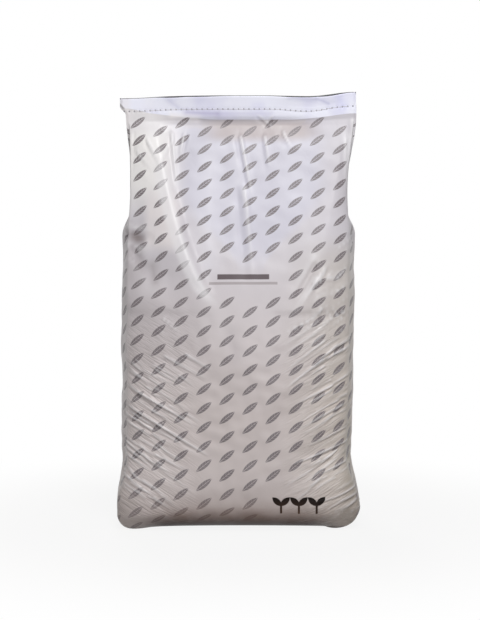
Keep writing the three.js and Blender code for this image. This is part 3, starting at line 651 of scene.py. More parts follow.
class Nodes:
    """Short ways to add shader or geometry nodes to one tree."""

    def __init__(self, tree):
        self.tree = tree

    def add(self, kind, inputs=None, **settings):
        node = self.tree.nodes.new(kind)
        for name, value in settings.items():
            setattr(node, name, value)
        self.fill(node, inputs or {})
        return node

    def fill(self, node, inputs):
        for name, value in inputs.items():
            self.feed(node.inputs[name], value)

    def feed(self, socket, value):
        if isinstance(value, bpy.types.NodeSocket):
            self.tree.links.new(value, socket)
        else:
            socket.default_value = value

    def math(self, operation, first, second=0.0, third=0.0, clamp=False):
        node = self.add("ShaderNodeMath", operation=operation, use_clamp=clamp)
        self.fill(node, {0: first, 1: second, 2: third})
        return node.outputs[0]

    def over_all(self, operation, values):
        total = values[0]
        for value in values[1:]:
            total = self.math(operation, total, value)
        return total

    def times(self, *values):
        return self.over_all("MULTIPLY", values)

    def plus(self, *values):
        return self.over_all("ADD", values)

    def greatest(self, *values):
        return self.over_all("MAXIMUM", values)

    def minus(self, first, second):
        return self.math("SUBTRACT", first, second)

    def size(self, value):
        return self.math("ABSOLUTE", value)

    def distance(self, first, second):
        return self.math("SQRT", self.plus(self.times(first, first), self.times(second, second)))

    def step(self, value, start, end, least=0.0):
        """Smooth step from the least value at start to 1 at end."""
        ends = {"Value": value, "From Min": start, "From Max": end, "To Min": least}
        return self.add("ShaderNodeMapRange", ends, interpolation_type="SMOOTHSTEP").outputs["Result"]

    def mix(self, factor, first, second):
        return self.add("ShaderNodeMix", {0: factor, 6: first, 7: second}, data_type="RGBA").outputs[2]

    def noise(self, vector, scale, detail=3.0, roughness=0.5):
        return self.add("ShaderNodeTexNoise", {
            "Vector": vector, "Scale": scale, "Detail": detail, "Roughness": roughness}).outputs["Fac"]

    def attribute(self, name):
        return self.add("ShaderNodeAttribute", attribute_name=name).outputs["Fac"]


def new_material(name):
    """An empty material, its nodes and its Principled shader, which is joined to the output."""
    material = bpy.data.materials.new(name)
    material.use_nodes = True
    nodes = Nodes(material.node_tree)
    nodes.tree.nodes.clear()
    shader = nodes.add("ShaderNodeBsdfPrincipled")
    nodes.add("ShaderNodeOutputMaterial", {"Surface": shader.outputs["BSDF"]})
    return material, nodes, shader


def box_mask(nodes, across, up, middle, half, softness=0.0006):
    """1 inside a flat box on the print, 0 outside it."""
    inside = []
    for place, centre, reach in zip((across, up), middle, half):
        off = nodes.size(nodes.minus(place, centre))
        inside.append(nodes.step(off, reach + softness, reach - softness))
    return nodes.times(*inside)


def along_and_aside(nodes, across, up, start, angle):
    """How far a place is along a slanted line from its start, and how far off it to the left."""
    cosine, sine = math.cos(angle), math.sin(angle)
    dx, dy = nodes.minus(across, start[0]), nodes.minus(up, start[1])
    along = nodes.plus(nodes.times(dx, cosine), nodes.times(dy, sine))
    return along, nodes.minus(nodes.times(dy, cosine), nodes.times(dx, sine))


def lens_mask(nodes, across, up, middle, angle, half_length, half_width, softness=0.0006):
    """1 inside a pointed leaf on the print, 0 outside it, and the place along and across the leaf."""
    along, aside = along_and_aside(nodes, across, up, middle, angle)
    share = nodes.math("DIVIDE", along, half_length)
    width = nodes.minus(1.0, nodes.math("POWER", nodes.times(share, share), 1.1))
    gap = nodes.minus(nodes.times(width, half_width), nodes.size(aside))
    return nodes.step(gap, -softness, softness), along, aside


# The print, in metres on the flat film. A bar or a clear space is its middle and its half sizes.
MARK_PITCH = (0.0431, 0.0359)
MARK_ANGLE = math.radians(39)
MARK_HALF_LENGTH, MARK_HALF_WIDTH = 0.0190, 0.0053
VEIN_PITCH, MIDRIB_WIDTH = 0.0062, 0.0006
PRINT_TOP = 0.799
TITLE_BAR = ((0.009, 0.481), (0.0485, 0.0050))
SUBTITLE_BAR = ((0.009, 0.4685), (0.064, 0.0026))
TITLE_SPACE = ((0.009, 0.476), (0.068, 0.03))
SIGN_SPACE = ((0.135, 0.04), (0.085, 0.052))
SIGN_PLACE, SIGN_SIZE = (0.113, 0.052), 0.037
# The seedlings' shares of their height: pitch, fork below the middle, stem, and the leaves' place and size
SEEDLING_PITCH, SEEDLING_FORK, STEM_SHARE = 0.9, 0.02, 0.055
LEAF_OUT, LEAF_LENGTH, LEAF_WIDTH, LEAF_SPREAD = 0.27, 0.33, 0.15, 48
SHARP = 0.0001


def leaf_marks(nodes, across, up):
    """The grey leaves that repeat in half-drop columns: their mask, and the nearest one's middle."""
    column = nodes.math("FLOOR", nodes.math("DIVIDE", across, MARK_PITCH[0]))
    half_drop = nodes.times(nodes.math("FLOORED_MODULO", column, 2.0), 0.5)
    height = nodes.plus(nodes.math("DIVIDE", up, MARK_PITCH[1]), half_drop)
    row = nodes.math("FLOOR", height)
    middle_across = nodes.times(nodes.plus(column, 0.5), MARK_PITCH[0])
    row_middle = nodes.minus(nodes.plus(row, 0.5), half_drop)
    middle_up = nodes.times(row_middle, MARK_PITCH[1])
    leaf, along, aside = lens_mask(nodes, across, up, (middle_across, middle_up), MARK_ANGLE,
                                   MARK_HALF_LENGTH, MARK_HALF_WIDTH)
    beside = nodes.size(aside)
    midrib = nodes.step(beside, 0.0, MIDRIB_WIDTH)
    side_veins = nodes.math("FRACT", nodes.math("DIVIDE", nodes.minus(along, beside), VEIN_PITCH))
    side_veins = nodes.step(nodes.size(nodes.minus(side_veins, 0.5)), 0.02, 0.1)
    veins = nodes.times(midrib, nodes.math("MULTIPLY_ADD", side_veins, 0.45, 0.55))
    return nodes.times(leaf, veins), middle_across, middle_up


def capsule_mask(nodes, across, up, start, end, half_width, softness=0.0005):
    """1 inside a straight stroke with round ends."""
    run, rise = end[0] - start[0], end[1] - start[1]
    along, aside = along_and_aside(nodes, across, up, start, math.atan2(rise, run))
    past = nodes.minus(along, nodes.math("MINIMUM", nodes.greatest(along, 0.0), math.hypot(run, rise)))
    distance = nodes.distance(past, aside)
    return nodes.step(distance, half_width + softness, half_width - softness)


def seedling_marks(nodes, across, up, place, size):
    """Three black seedlings in a row, each a stem with two leaves, at the foot of the front."""
    masks = []
    for i in (-1, 0, 1):
        middle = place[0] + i * size * SEEDLING_PITCH
        foot, fork = (middle, place[1] - size / 2), (middle, place[1] - size * SEEDLING_FORK)
        masks.append(capsule_mask(nodes, across, up, foot, fork, size * STEM_SHARE))
        for side in (-1, 1):
            angle = math.radians(90 - side * LEAF_SPREAD)
            out = size * LEAF_OUT
            leaf_middle = (fork[0] + math.cos(angle) * out, fork[1] + math.sin(angle) * out)
            half_sizes = size * LEAF_LENGTH, size * LEAF_WIDTH
            masks.append(lens_mask(nodes, across, up, leaf_middle, angle, *half_sizes, 0.0005)[0])
    return nodes.greatest(*masks)


def wrinkle_group():
    """A node group: the height of the fine wrinkles and the soft gloss of blown film."""
    group = bpy.data.node_groups.new("film_wrinkles", "ShaderNodeTree")
    for name, way, kind in (("Place", "INPUT", "Vector"), ("Wrinkle Size", "INPUT", "Float"),
                            ("Height", "OUTPUT", "Float"), ("Roughness", "OUTPUT", "Float")):
        group.interface.new_socket(name=name, in_out=way, socket_type="NodeSocket" + kind)
    nodes = Nodes(group)
    entry = nodes.add("NodeGroupInput")
    leave = nodes.add("NodeGroupOutput")
    scale = nodes.math("DIVIDE", 1.0, entry.outputs["Wrinkle Size"])
    fine = nodes.add("ShaderNodeTexNoise", {"Vector": entry.outputs["Place"], "Scale": scale,
                                            "Detail": 4.0, "Roughness": 0.55, "Distortion": 0.6})
    broad = nodes.noise(entry.outputs["Place"], 14.0, 2.0)
    ridge = nodes.size(nodes.minus(fine.outputs["Fac"], 0.5))
    ridge = nodes.minus(0.5, nodes.times(ridge, 1.6))
    nodes.feed(leave.inputs["Height"], nodes.times(ridge, nodes.step(broad, 0.3, 0.75)))
    nodes.feed(leave.inputs["Roughness"], nodes.math("MULTIPLY_ADD", broad, 0.16, 0.33))
    return group


def linear(colour, full=255):
    """A colour as it looks on screen, 0 to full, as the shader's linear values."""
    shares = [channel / full for channel in colour]
    return [s / 12.92 if s <= 0.04045 else ((s + 0.055) / 1.055) ** 2.4 for s in shares] + [1.0]


# The film's colours, as they look on screen
MOTTLED, WARM_LOWER_SHADING, SKY_REFLECTION = (205, 190, 186), (204, 194, 192), (203, 202, 217)
HEADER_PATCH, HEADER_DIP_SHADOW, OPEN_END_SHADOW = (206, 204, 236), (176, 176, 212), (56, 54, 64)
MARK_GREY, TITLE_GREY, SUBTITLE_GREY, SIGN_BLACK = (116, 108, 111), (84, 72, 76), (168, 160, 162), (9, 8, 9)
CREST_HIGHLIGHT, VALLEY_SHADOW, FOOT_SHADOW = (240, 238, 240), (112, 100, 98), (138, 124, 118)
SOIL_AND_SHADE_BROWN, BASE_EDGE_SHADOW, HOLE_SHADOW = (104, 76, 60), (52, 38, 36), (78, 74, 92)
# Strokes on the header, of painted shadow in its dips and of the gap's painted shadow and black inside at
# the mouth's open left end: start (x, z), end (x, z), half-width and softness, in metres
RIGHT_DIP = ((0.149, 0.817), (0.173, 0.807), 0.001, 0.0045)
LEFT_DIP = ((-0.143, 0.820), (-0.112, 0.796), 0.001, 0.008)
OPEN_END = ((-0.2315, 0.8085), (-0.2205, 0.7965), 0.0020, 0.0014)
# Distances from a needle hole between which its painted shadow and its pucker fade out
HOLE_SHADOW_EDGE, PUCKER_EDGE = (0.0019, 0.0012), (0.0065, 0.001)
# The brown of soil and painted shade at the foot, and the painted shadow along the base edge, which fade
# out with the height and to the sides
SOIL_AND_SHADE_LINE, SOIL_AND_SHADE_SIDES, SOIL_AND_SHADE_STRENGTH = (0.085, 0.0), (0.21, 0.1), (1.3, 0.3)
BASE_EDGE_SHADOW_FADES = (("z", 0.034, 0.009), ("|x|", 0.205, 0.13))
# The film's gloss, and how much of it the seedlings and the painted shadow along the base edge take away
FILM_GLOSS, GLOSS_LOSS = 0.45, 0.38
# The fine relief: wrinkles that run up the film, and streaks that slant down to its middle
WRINKLE_SIZE, WRINKLE_STRETCH = 0.035, (1.0, 0.55, 1.0)
STREAK_ANGLE, STREAK_STRETCH, STREAK_SCALE, STREAK_HEIGHT = math.radians(30), 9.0, 190.0, 5.0
HEADER_EDGE = (-0.0008, 0.0012)
SLACK_MIDDLE = 0.045
# Painted light and shade that fade in and out by place: strength, colour, and fades that are multiplied. A
# fade follows the height z, the place x, its size |x|, the height above the header's border or the distance
# from the slack panel's middle, all in metres. It is 0 at its first value and 1 at its second one. A third
# value is the least that it falls to in place of 0.
OFF_HEADER = ("border", *HEADER_EDGE[::-1])
BELOW_NECK = ("z", 0.765, 0.735)
PAINTED_LIGHT_AND_SHADE = (
    (0.75, (176, 161, 155), OFF_HEADER, ("border", -0.050, -0.028), ("border", 0.010, -0.016),
     ("aside", 0.135, 0.07)),
    (0.16, (150, 148, 158), OFF_HEADER, ("z", 0.64, 0.73)),
    (0.9, (245, 242, 240), OFF_HEADER, ("x", -0.09, -0.165), ("z", 0.57, 0.66), (*BELOW_NECK, 5 / 9)),
    (0.4, (142, 132, 132), ("x", -0.165, -0.19), ("z", 0.60, 0.56), ("z", 0.44, 0.49)),
    (0.8, (236, 229, 229), ("x", -0.185, -0.165), ("x", -0.1, -0.125), ("z", 0.515, 0.545),
     ("z", 0.66, 0.6)),
    (0.13, (120, 110, 110), ("x", -0.03, -0.08), ("z", 0.47, 0.42), ("z", 0.28, 0.34)),
    (0.42, (118, 112, 100), ("x", 0.185, 0.215), ("z", 0.32, 0.12)),
    (0.32, (190, 181, 157), ("x", 0.06, 0.21), ("z", 0.57, 0.49)),
    (0.3, (120, 112, 104), ("|x|", 0.165, 0.215), ("z", 0.12, 0.08)),
    (0.4, (240, 234, 234), ("x", -0.2, -0.218), ("z", 0.13, 0.19)),
    (0.6, (245, 243, 246), ("x", 0.195, 0.21), ("z", 0.62, 0.70), BELOW_NECK),
)
# Broad soft strokes of painted light and shade on the film: start (x, z), end (x, z), reach, strength and
# colour.
SOFT_PAINTED_LIGHT_AND_SHADE = (
    ((-0.055, 0.70), (-0.055, 0.50), 0.045, 0.8, (234, 232, 240)),
    ((-0.162, 0.497), (-0.156, 0.466), 0.022, 0.8, (128, 118, 116)),
    ((-0.012, 0.372), (-0.004, 0.330), 0.034, 0.5, (138, 130, 136)),
    ((-0.100, 0.790), (-0.040, 0.787), 0.015, 1.3, (172, 166, 202)),
    ((-0.040, 0.787), (0.062, 0.787), 0.013, 0.6, (172, 166, 202)),
    ((0.098, 0.819), (0.148, 0.815), 0.011, 0.9, (166, 164, 194)),
    ((0.193, 0.818), (0.202, 0.803), 0.019, 0.9, (205, 205, 244)),
    ((-0.228, 0.8175), (-0.214, 0.8170), 0.004, 1.3, (140, 136, 160)),
    ((-0.128, 0.784), (-0.080, 0.777), 0.014, 1.3, (250, 246, 247)),
    ((0.220, 0.775), (0.219, 0.735), 0.008, 1.5, (250, 248, 250)),
)


def film_places(nodes):
    """What the film's colours follow: places on the bag and on the print, and named attributes."""
    coordinates = nodes.add("ShaderNodeTexCoord").outputs
    on_bag = nodes.add("ShaderNodeSeparateXYZ", {"Vector": coordinates["Object"]}).outputs
    on_print = nodes.add("ShaderNodeSeparateXYZ", {"Vector": coordinates["UV"]}).outputs
    return {
        "bag": coordinates["Object"], "x": on_bag["X"], "|x|": nodes.size(on_bag["X"]), "z": on_bag["Z"],
        "print": coordinates["UV"], "across": on_print["X"], "up": on_print["Y"],
        "aside": nodes.size(nodes.minus(on_bag["X"], SLACK_MIDDLE)),
        "border": nodes.attribute("header_line"), "seam": nodes.attribute("seam_line"),
    }


def faded(nodes, at, strength, *fades):
    """A strength times fades by place."""
    return nodes.times(strength, *(nodes.step(at[what], *ends) for what, *ends in fades))


def ground_layers(nodes, at, on_header):
    """The soft colours of the film without its print, as masks and colours from below upwards: random
    mottling, patches on the header, and painted light and shade.
    """
    place = at["x"], at["z"]
    patches = nodes.step(nodes.noise(at["bag"], 14.0, 2.0), 0.45, 0.7)
    # Strokes of painted shadow in the header's dips and at the mouth's open left end
    right_dip, left_dip, open_end_shadow = (
        capsule_mask(nodes, *place, *stroke) for stroke in (RIGHT_DIP, LEFT_DIP, OPEN_END))
    dip_shadows = nodes.greatest(nodes.times(right_dip, 0.6), nodes.times(left_dip, 0.45))
    # The painted reflection of the sky on the slack panel
    slack = nodes.times(nodes.attribute("slack_sky_reflection"), faded(nodes, at, 0.6, OFF_HEADER))
    layers = [
        (nodes.times(nodes.noise(at["bag"], 9.0), 0.10), MOTTLED),
        # Painted warm shading below the header, stronger towards the bottom
        (faded(nodes, at, 1.0, OFF_HEADER, ("z", 0.62, 0.2)), WARM_LOWER_SHADING),
        (nodes.times(on_header, patches, 0.45), HEADER_PATCH),
        # Painted shadow in the header's dips and in the gap at the mouth's open end
        (nodes.times(dip_shadows, on_header), HEADER_DIP_SHADOW),
        (nodes.times(open_end_shadow, 0.95), OPEN_END_SHADOW),
        (slack, SKY_REFLECTION),
    ]
    # Painted light and shade by place, then in soft strokes
    layers += [(faded(nodes, at, strength, *fades), shade) for strength, shade, *fades in PAINTED_LIGHT_AND_SHADE]
    for start, end, reach, strength, shade in SOFT_PAINTED_LIGHT_AND_SHADE:
        stroke = capsule_mask(nodes, *place, start, end, 0.0, reach)
        layers.append((nodes.times(stroke, strength), shade))
    return layers


def print_layers(nodes, at, on_header, seedlings):
    """The print, the painted highlight on the folds' crests and painted shadow in their valleys and towards
    the foot, from below upwards.
    """
    place = at["across"], at["up"]
    marks, *mark_place = leaf_marks(nodes, *place)
    clear = nodes.greatest(
        box_mask(nodes, *mark_place, *TITLE_SPACE, SHARP),
        box_mask(nodes, *mark_place, *SIGN_SPACE, SHARP),
        nodes.step(mark_place[1], PRINT_TOP - SHARP, PRINT_TOP), on_header)
    worn = nodes.math("MULTIPLY_ADD", nodes.noise(at["print"], 60.0), 0.3, 0.82, clamp=True)
    # The folds' crests take a painted highlight and their valleys a painted shadow
    crease = nodes.attribute("crease")
    crest = nodes.greatest(crease, 0.0)
    valley = nodes.greatest(nodes.times(crease, -1.0), 0.0)
    return [
        (nodes.times(marks, nodes.minus(1.0, clear), worn), MARK_GREY),
        (nodes.times(crest, 0.55), CREST_HIGHLIGHT),
        (nodes.times(valley, 0.7), VALLEY_SHADOW),
        (box_mask(nodes, *place, *SUBTITLE_BAR), SUBTITLE_GREY),
        (box_mask(nodes, *place, *TITLE_BAR), TITLE_GREY),
        # Painted shadow towards the foot
        (faded(nodes, at, 0.3, ("z", 0.11, 0.04)), FOOT_SHADOW),
        (seedlings, SIGN_BLACK),
    ]


def stitch_distance(nodes, at):
    """How far a place on the header is from the nearest needle hole."""
    pitch = STITCH_LENGTH * MILLIMETRE
    from_first = nodes.minus(at["x"], FIRST_STITCH * MILLIMETRE - pitch / 2)
    along = nodes.minus(nodes.math("FRACT", nodes.math("DIVIDE", from_first, pitch)), 0.5)
    along = nodes.times(along, pitch)
    return nodes.distance(along, at["seam"])


def film_bump(nodes, at, wrinkles, from_hole):
    """The film's normal: wrinkles, puckers round the needle holes, and streaks drawn to the middle."""
    beside = nodes.size(at["across"])
    inwards = nodes.add("ShaderNodeCombineXYZ", {"X": beside, "Y": at["up"]})
    turned = nodes.add("ShaderNodeMapping", {
        "Vector": inwards.outputs["Vector"], "Rotation": (0.0, 0.0, STREAK_ANGLE),
        "Scale": (STREAK_STRETCH, 1.0, 1.0)}, vector_type="TEXTURE")
    drawn = nodes.size(nodes.minus(nodes.noise(turned.outputs["Vector"], STREAK_SCALE, 2.0), 0.5))
    low_sides = nodes.times(nodes.step(beside, 0.05, 0.14), nodes.step(at["z"], 0.46, 0.34))
    streaks = nodes.times(drawn, low_sides, STREAK_HEIGHT)
    puckers = nodes.times(nodes.step(from_hole, *PUCKER_EDGE), 0.6)
    height = nodes.minus(nodes.minus(wrinkles.outputs["Height"], puckers), streaks)
    bump = nodes.add("ShaderNodeBump", {"Height": height, "Distance": 0.0012, "Strength": 0.6})
    return bump.outputs["Normal"]


def film_material(settings):
    """White film with a grey ground, its leaf print, its title bars, its seedlings, its painted light and
    shade, and a foot browned by soil and painted shade.
    """
    material, nodes, shader = new_material("printed_film")
    at = film_places(nodes)
    on_header = nodes.step(at["border"], *HEADER_EDGE)
    seedlings = seedling_marks(nodes, at["across"], at["up"], SIGN_PLACE, SIGN_SIZE)
    low = nodes.math("POWER", nodes.step(at["z"], *SOIL_AND_SHADE_LINE), 1.5)
    low = nodes.times(low, nodes.step(at["|x|"], *SOIL_AND_SHADE_SIDES))
    soil_and_shade = nodes.math("MULTIPLY_ADD", nodes.noise(at["bag"], 22.0, 5.0, 0.6), *SOIL_AND_SHADE_STRENGTH)
    base_edge_shadow = faded(nodes, at, 1.0, *BASE_EDGE_SHADOW_FADES)
    from_hole = stitch_distance(nodes, at)
    colour = nodes.mix(on_header, linear(settings.ground_colour, 1), linear(settings.header_colour, 1))
    for mask, shade in (
        *ground_layers(nodes, at, on_header),
        *print_layers(nodes, at, on_header, seedlings),
        # Brown of soil and painted shade at the foot
        (nodes.math("MULTIPLY", low, soil_and_shade, clamp=True), SOIL_AND_SHADE_BROWN),
        # Painted shadow along the base edge
        (nodes.times(base_edge_shadow, 0.85), BASE_EDGE_SHADOW),
        # Painted shadows in the needle holes
        (nodes.times(nodes.step(from_hole, *HOLE_SHADOW_EDGE), 0.75), HOLE_SHADOW),
    ):
        colour = nodes.mix(mask, colour, linear(shade))
    stretched = nodes.add("ShaderNodeMapping", {"Vector": at["print"], "Scale": WRINKLE_STRETCH})
    wrinkles = nodes.add("ShaderNodeGroup", node_tree=bpy.data.node_groups["film_wrinkles"])
    nodes.fill(wrinkles, {"Place": stretched.outputs["Vector"], "Wrinkle Size": WRINKLE_SIZE})
    dull = nodes.times(nodes.greatest(seedlings, base_edge_shadow), GLOSS_LOSS)
    nodes.fill(shader, {
        "Base Color": colour, "Roughness": wrinkles.outputs["Roughness"],
        "Specular IOR Level": nodes.minus(FILM_GLOSS, dull),
        "Normal": film_bump(nodes, at, wrinkles, from_hole)})
    return material


def inner_film_material():
    """The film's black inner side, which shows between the two lips."""
    material, nodes, shader = new_material("black_inner_film")
    cloudy = nodes.noise(nodes.add("ShaderNodeTexCoord").outputs["Object"], 40.0)
    nodes.fill(shader, {
        "Base Color": nodes.mix(cloudy, linear((30, 30, 36)), linear((46, 45, 54))),
        "Roughness": nodes.math("MULTIPLY_ADD", cloudy, 0.2, 0.35)})
    return material


def thread_material():
    """White spun thread: fine plies that slant round it, and a little lint."""
    material, nodes, shader = new_material("sewing_thread")
    place = nodes.add("ShaderNodeTexCoord").outputs["Object"]
    slanted = nodes.add("ShaderNodeMapping", {"Vector": place, "Rotation": (0.0, 0.6, 0.0)})
    wave = nodes.add("ShaderNodeTexWave", {
        "Vector": slanted.outputs["Vector"], "Scale": 900.0, "Distortion": 1.5})
    bump = nodes.add("ShaderNodeBump", {"Height": wave.outputs["Fac"], "Distance": 0.0002, "Strength": 0.7})
    lint = nodes.noise(place, 1500.0, 2.0)
    colour = nodes.mix(lint, linear((222, 219, 222)), linear((246, 244, 246)))
    nodes.fill(shader, {
        "Base Color": colour, "Normal": bump.outputs["Normal"], "Roughness": 0.85, "Sheen Weight": 0.2})
    return material


SEAM_END_MARGIN = 10.0
STITCH_COUNT = int((sum(HEADER_REACH) - 2 * SEAM_END_MARGIN) // STITCH_LENGTH)
FIRST_STITCH = (HEADER_REACH[RIGHT] - HEADER_REACH[LEFT] - STITCH_COUNT * STITCH_LENGTH) / 2


def tube(points, radius, sides=6):
    """Vertices and faces of a closed round tube along a list of points."""
    points = np.asarray(points, float)
    tangents = np.gradient(points, axis=0)
    tangents /= np.linalg.norm(tangents, axis=1, keepdims=True) + 1e-12
    frame_side = np.cross(tangents[0], (0.3, 0.2, 1.0))
    vertices = []
    for point, tangent in zip(points, tangents):
        frame_side = frame_side - tangent * np.dot(frame_side, tangent)
        frame_side /= np.linalg.norm(frame_side)
        other = np.cross(tangent, frame_side)
        for i in range(sides):
            angle = 2 * math.pi * i / sides
            vertices.append(point + radius * (math.cos(angle) * frame_side + math.sin(angle) * other))
    faces = [tuple(range(sides))[::-1], tuple((len(points) - 1) * sides + i for i in range(sides))]
    for ring in range(len(points) - 1):
        for i in range(sides):
            a, b = ring * sides + i, ring * sides + (i + 1) % sides
            faces.append((a, b, b + sides, a + sides))
    return vertices, faces


def rounded_path(corners, samples=5, softness=0.35):
    """A path that rounds off a list of corners."""
    corners = np.asarray(corners, float)
    path = [corners[0]]
    for before, corner, after in zip(corners, corners[1:], corners[2:]):
        start, end = lerp(corner, before, softness), lerp(corner, after, softness)
        for i in range(samples):
            t = i / (samples - 1)
            path.append((1 - t) ** 2 * start + 2 * t * (1 - t) * corner + t * t * end)
    path.append(corners[-1])
    return path


def chain_stitch_mesh():
    """One link of the chain stitch: a dash in front, and behind it a loop that the next link holds."""
    front, back, thick = -1.0, 1.0, 0.4
    behind = back + 0.2
    loop_end = back + 0.3
    reach = STITCH_LENGTH
    dash = rounded_path([(0, 0.4, 0.25), (0.15, front, 0.25), (reach * 0.5, front - 0.15, 0.0),
                         (reach - 0.15, front, -0.25), (reach, 0.4, -0.25)])
    loop = rounded_path([(0, -0.4, 0.3), (0.2, back, 0.5), (reach * 0.6, behind, 1.1),
                         (reach * 1.02, loop_end, 0.7), (reach * 1.12, loop_end, 0.0),
                         (reach * 1.02, loop_end, -0.7), (reach * 0.6, behind, -1.1),
                         (0.2, back, -0.5), (0, -0.4, -0.3)], 4)
    vertices, faces = [], []
    for path in (dash, loop):
        points, sides = tube(path, thick)
        faces += [tuple(len(vertices) + i for i in face) for face in sides]
        vertices += points
    mesh = bpy.data.meshes.new("chain_stitch")
    mesh.from_pydata([tuple(point * MILLIMETRE) for point in map(np.asarray, vertices)], [], faces)
    mesh.shade_smooth()
    return mesh


def stitch_tree(link, material):
    """Geometry Nodes that set one chain-stitch link at every step of a curve, along the header."""
    tree = bpy.data.node_groups.new("chain_stitches", "GeometryNodeTree")
    tree.is_modifier = True
    tree.interface.new_socket(name="Geometry", in_out="INPUT", socket_type="NodeSocketGeometry")
    length = tree.interface.new_socket(name="Stitch Length", in_out="INPUT", socket_type="NodeSocketFloat")
    tree.interface.new_socket(name="Geometry", in_out="OUTPUT", socket_type="NodeSocketGeometry")
    nodes = Nodes(tree)
    entry = nodes.add("NodeGroupInput")
    steps = nodes.add("GeometryNodeResampleCurve", mode="LENGTH")
    nodes.fill(steps, {"Curve": entry.outputs["Geometry"], "Length": entry.outputs["Stitch Length"]})
    points = nodes.add("GeometryNodeCurveToPoints", {"Curve": steps.outputs["Curve"]}, mode="EVALUATED")
    index = nodes.add("GeometryNodeInputIndex").outputs["Index"]
    count = nodes.add("GeometryNodeAttributeDomainSize", {"Geometry": points.outputs["Points"]},
                      component="POINTCLOUD").outputs["Point Count"]
    before_last = nodes.add("FunctionNodeCompare", {0: index, 1: nodes.minus(count, 1.5)},
                            data_type="FLOAT", operation="LESS_THAN")
    turn = nodes.add("FunctionNodeAlignRotationToVector", {"Vector": points.outputs["Tangent"]}, axis="X")
    shape = nodes.add("GeometryNodeObjectInfo", {"Object": link}, transform_space="ORIGINAL")
    place = nodes.add("GeometryNodeInstanceOnPoints", {
        "Points": points.outputs["Points"], "Selection": before_last.outputs["Result"],
        "Instance": shape.outputs["Geometry"], "Rotation": turn.outputs["Rotation"]})
    real = nodes.add("GeometryNodeRealizeInstances", {"Geometry": place.outputs["Instances"]})
    painted = nodes.add("GeometryNodeSetMaterial", {
        "Geometry": real.outputs["Geometry"], "Material": material})
    nodes.add("NodeGroupOutput", {"Geometry": painted.outputs["Geometry"]})
    return tree, length.identifier


def seam_curve():
    """The line of the stitches as a curve object, in the middle of the header's thickness."""
    curve = bpy.data.curves.new("seam_line", "CURVE")
    curve.dimensions = "3D"
    count = 6 * STITCH_COUNT
    spline = curve.splines.new("POLY")
    spline.points.add(count)
    for i, point in enumerate(spline.points):
        x = FIRST_STITCH + i * STITCH_COUNT * STITCH_LENGTH / count
        level = float(seam_level(np.float64(x)))
        y = float(header_shift(np.float64(x), np.float64(level)))
        point.co = (x * MILLIMETRE, y * MILLIMETRE, level * MILLIMETRE, 1.0)
    return new_object("seam_line", curve)


def as_plain_mesh(source, name):
    """The evaluated shape of an object as a new object without modifiers."""
    bpy.context.view_layer.update()
    evaluated = source.evaluated_get(bpy.context.evaluated_depsgraph_get())
    mesh = bpy.data.meshes.new_from_object(evaluated)
    mesh.name = name
    return new_object(name, mesh)


class CompostBagSettings(bpy.types.PropertyGroup):
    """Sizes and colours of the bag that a user may change."""

    fold_strength: FloatProperty(
        name="Fold Strength", description="How strongly the folds and lumps stand out of the film",
        default=1.0, min=0.0, max=1.5, subtype="FACTOR")
    header_colour: FloatVectorProperty(
        name="Header Colour", description="Colour of the unprinted film along the top",
        default=(0.945, 0.95, 1.0), size=3, min=0.0, max=1.0, subtype="COLOR_GAMMA")
    ground_colour: FloatVectorProperty(
        name="Ground Colour", description="Colour of the printed film between the marks",
        default=(0.805, 0.79, 0.815), size=3, min=0.0, max=1.0, subtype="COLOR_GAMMA")
    stitch_length: FloatProperty(
        name="Stitch Length", description="Distance between two needle holes",
        default=STITCH_LENGTH * MILLIMETRE, min=0.004, max=0.02, unit="LENGTH")


class CompostBagStageSettings(bpy.types.PropertyGroup):
    """Camera and light of the studio."""

    camera_elevation: FloatProperty(
        name="Camera Elevation", description="How far the camera looks down on the bag",
        default=math.radians(3.5), unit="ROTATION", subtype="ANGLE")
    camera_distance: FloatProperty(
        name="Camera Distance", description="From the camera to the bag's middle",
        default=3.0, min=1.0, max=20.0, unit="LENGTH")
    key_power: FloatProperty(
        name="Key Light", description="Power of the soft light above, which the one behind follows",
        default=41.0, min=0.0, max=500.0, unit="POWER")
    fill_power: FloatProperty(
        name="Fill Light", description="Power of the soft light low in front",
        default=19.0, min=0.0, max=500.0, unit="POWER")


class COMPOSTBAG_OT_film(bpy.types.Operator):
    """Make the filled film bag with its folds and its print"""

    bl_idname = "compostbag.film"
    bl_label = "Filled Bag"

    def execute(self, context):
        settings = context.scene.compost_bag
        wrinkle_group()
        mesh = film_mesh(settings.fold_strength)
        mesh.materials.append(film_material(settings))
        mesh.materials.append(inner_film_material())
        film = new_object("film_bag", mesh)
        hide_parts("filled_bag")
        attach(film, "root")
        return {"FINISHED"}


class COMPOSTBAG_OT_stitches(bpy.types.Operator):
    """Sew the header shut with a chain stitch"""

    bl_idname = "compostbag.stitches"
    bl_label = "Closing Stitch"

    def execute(self, context):
        settings = context.scene.compost_bag
        material = thread_material()
        link = bpy.data.objects.new("stitch_link", chain_stitch_mesh())
        line = seam_curve()
        tree, length_socket = stitch_tree(link, material)
        modifier = line.modifiers.new("chain_stitches", "NODES")
        modifier.node_group = tree
        modifier[length_socket] = settings.stitch_length
        stitches = as_plain_mesh(line, "chain_stitch")
        bpy.data.objects.remove(line)
        bpy.data.objects.remove(link)
        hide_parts("closing_thread")
        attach(stitches, "root")
        return {"FINISHED"}


WHITE = (1.0, 1.0, 1.0, 1.0)
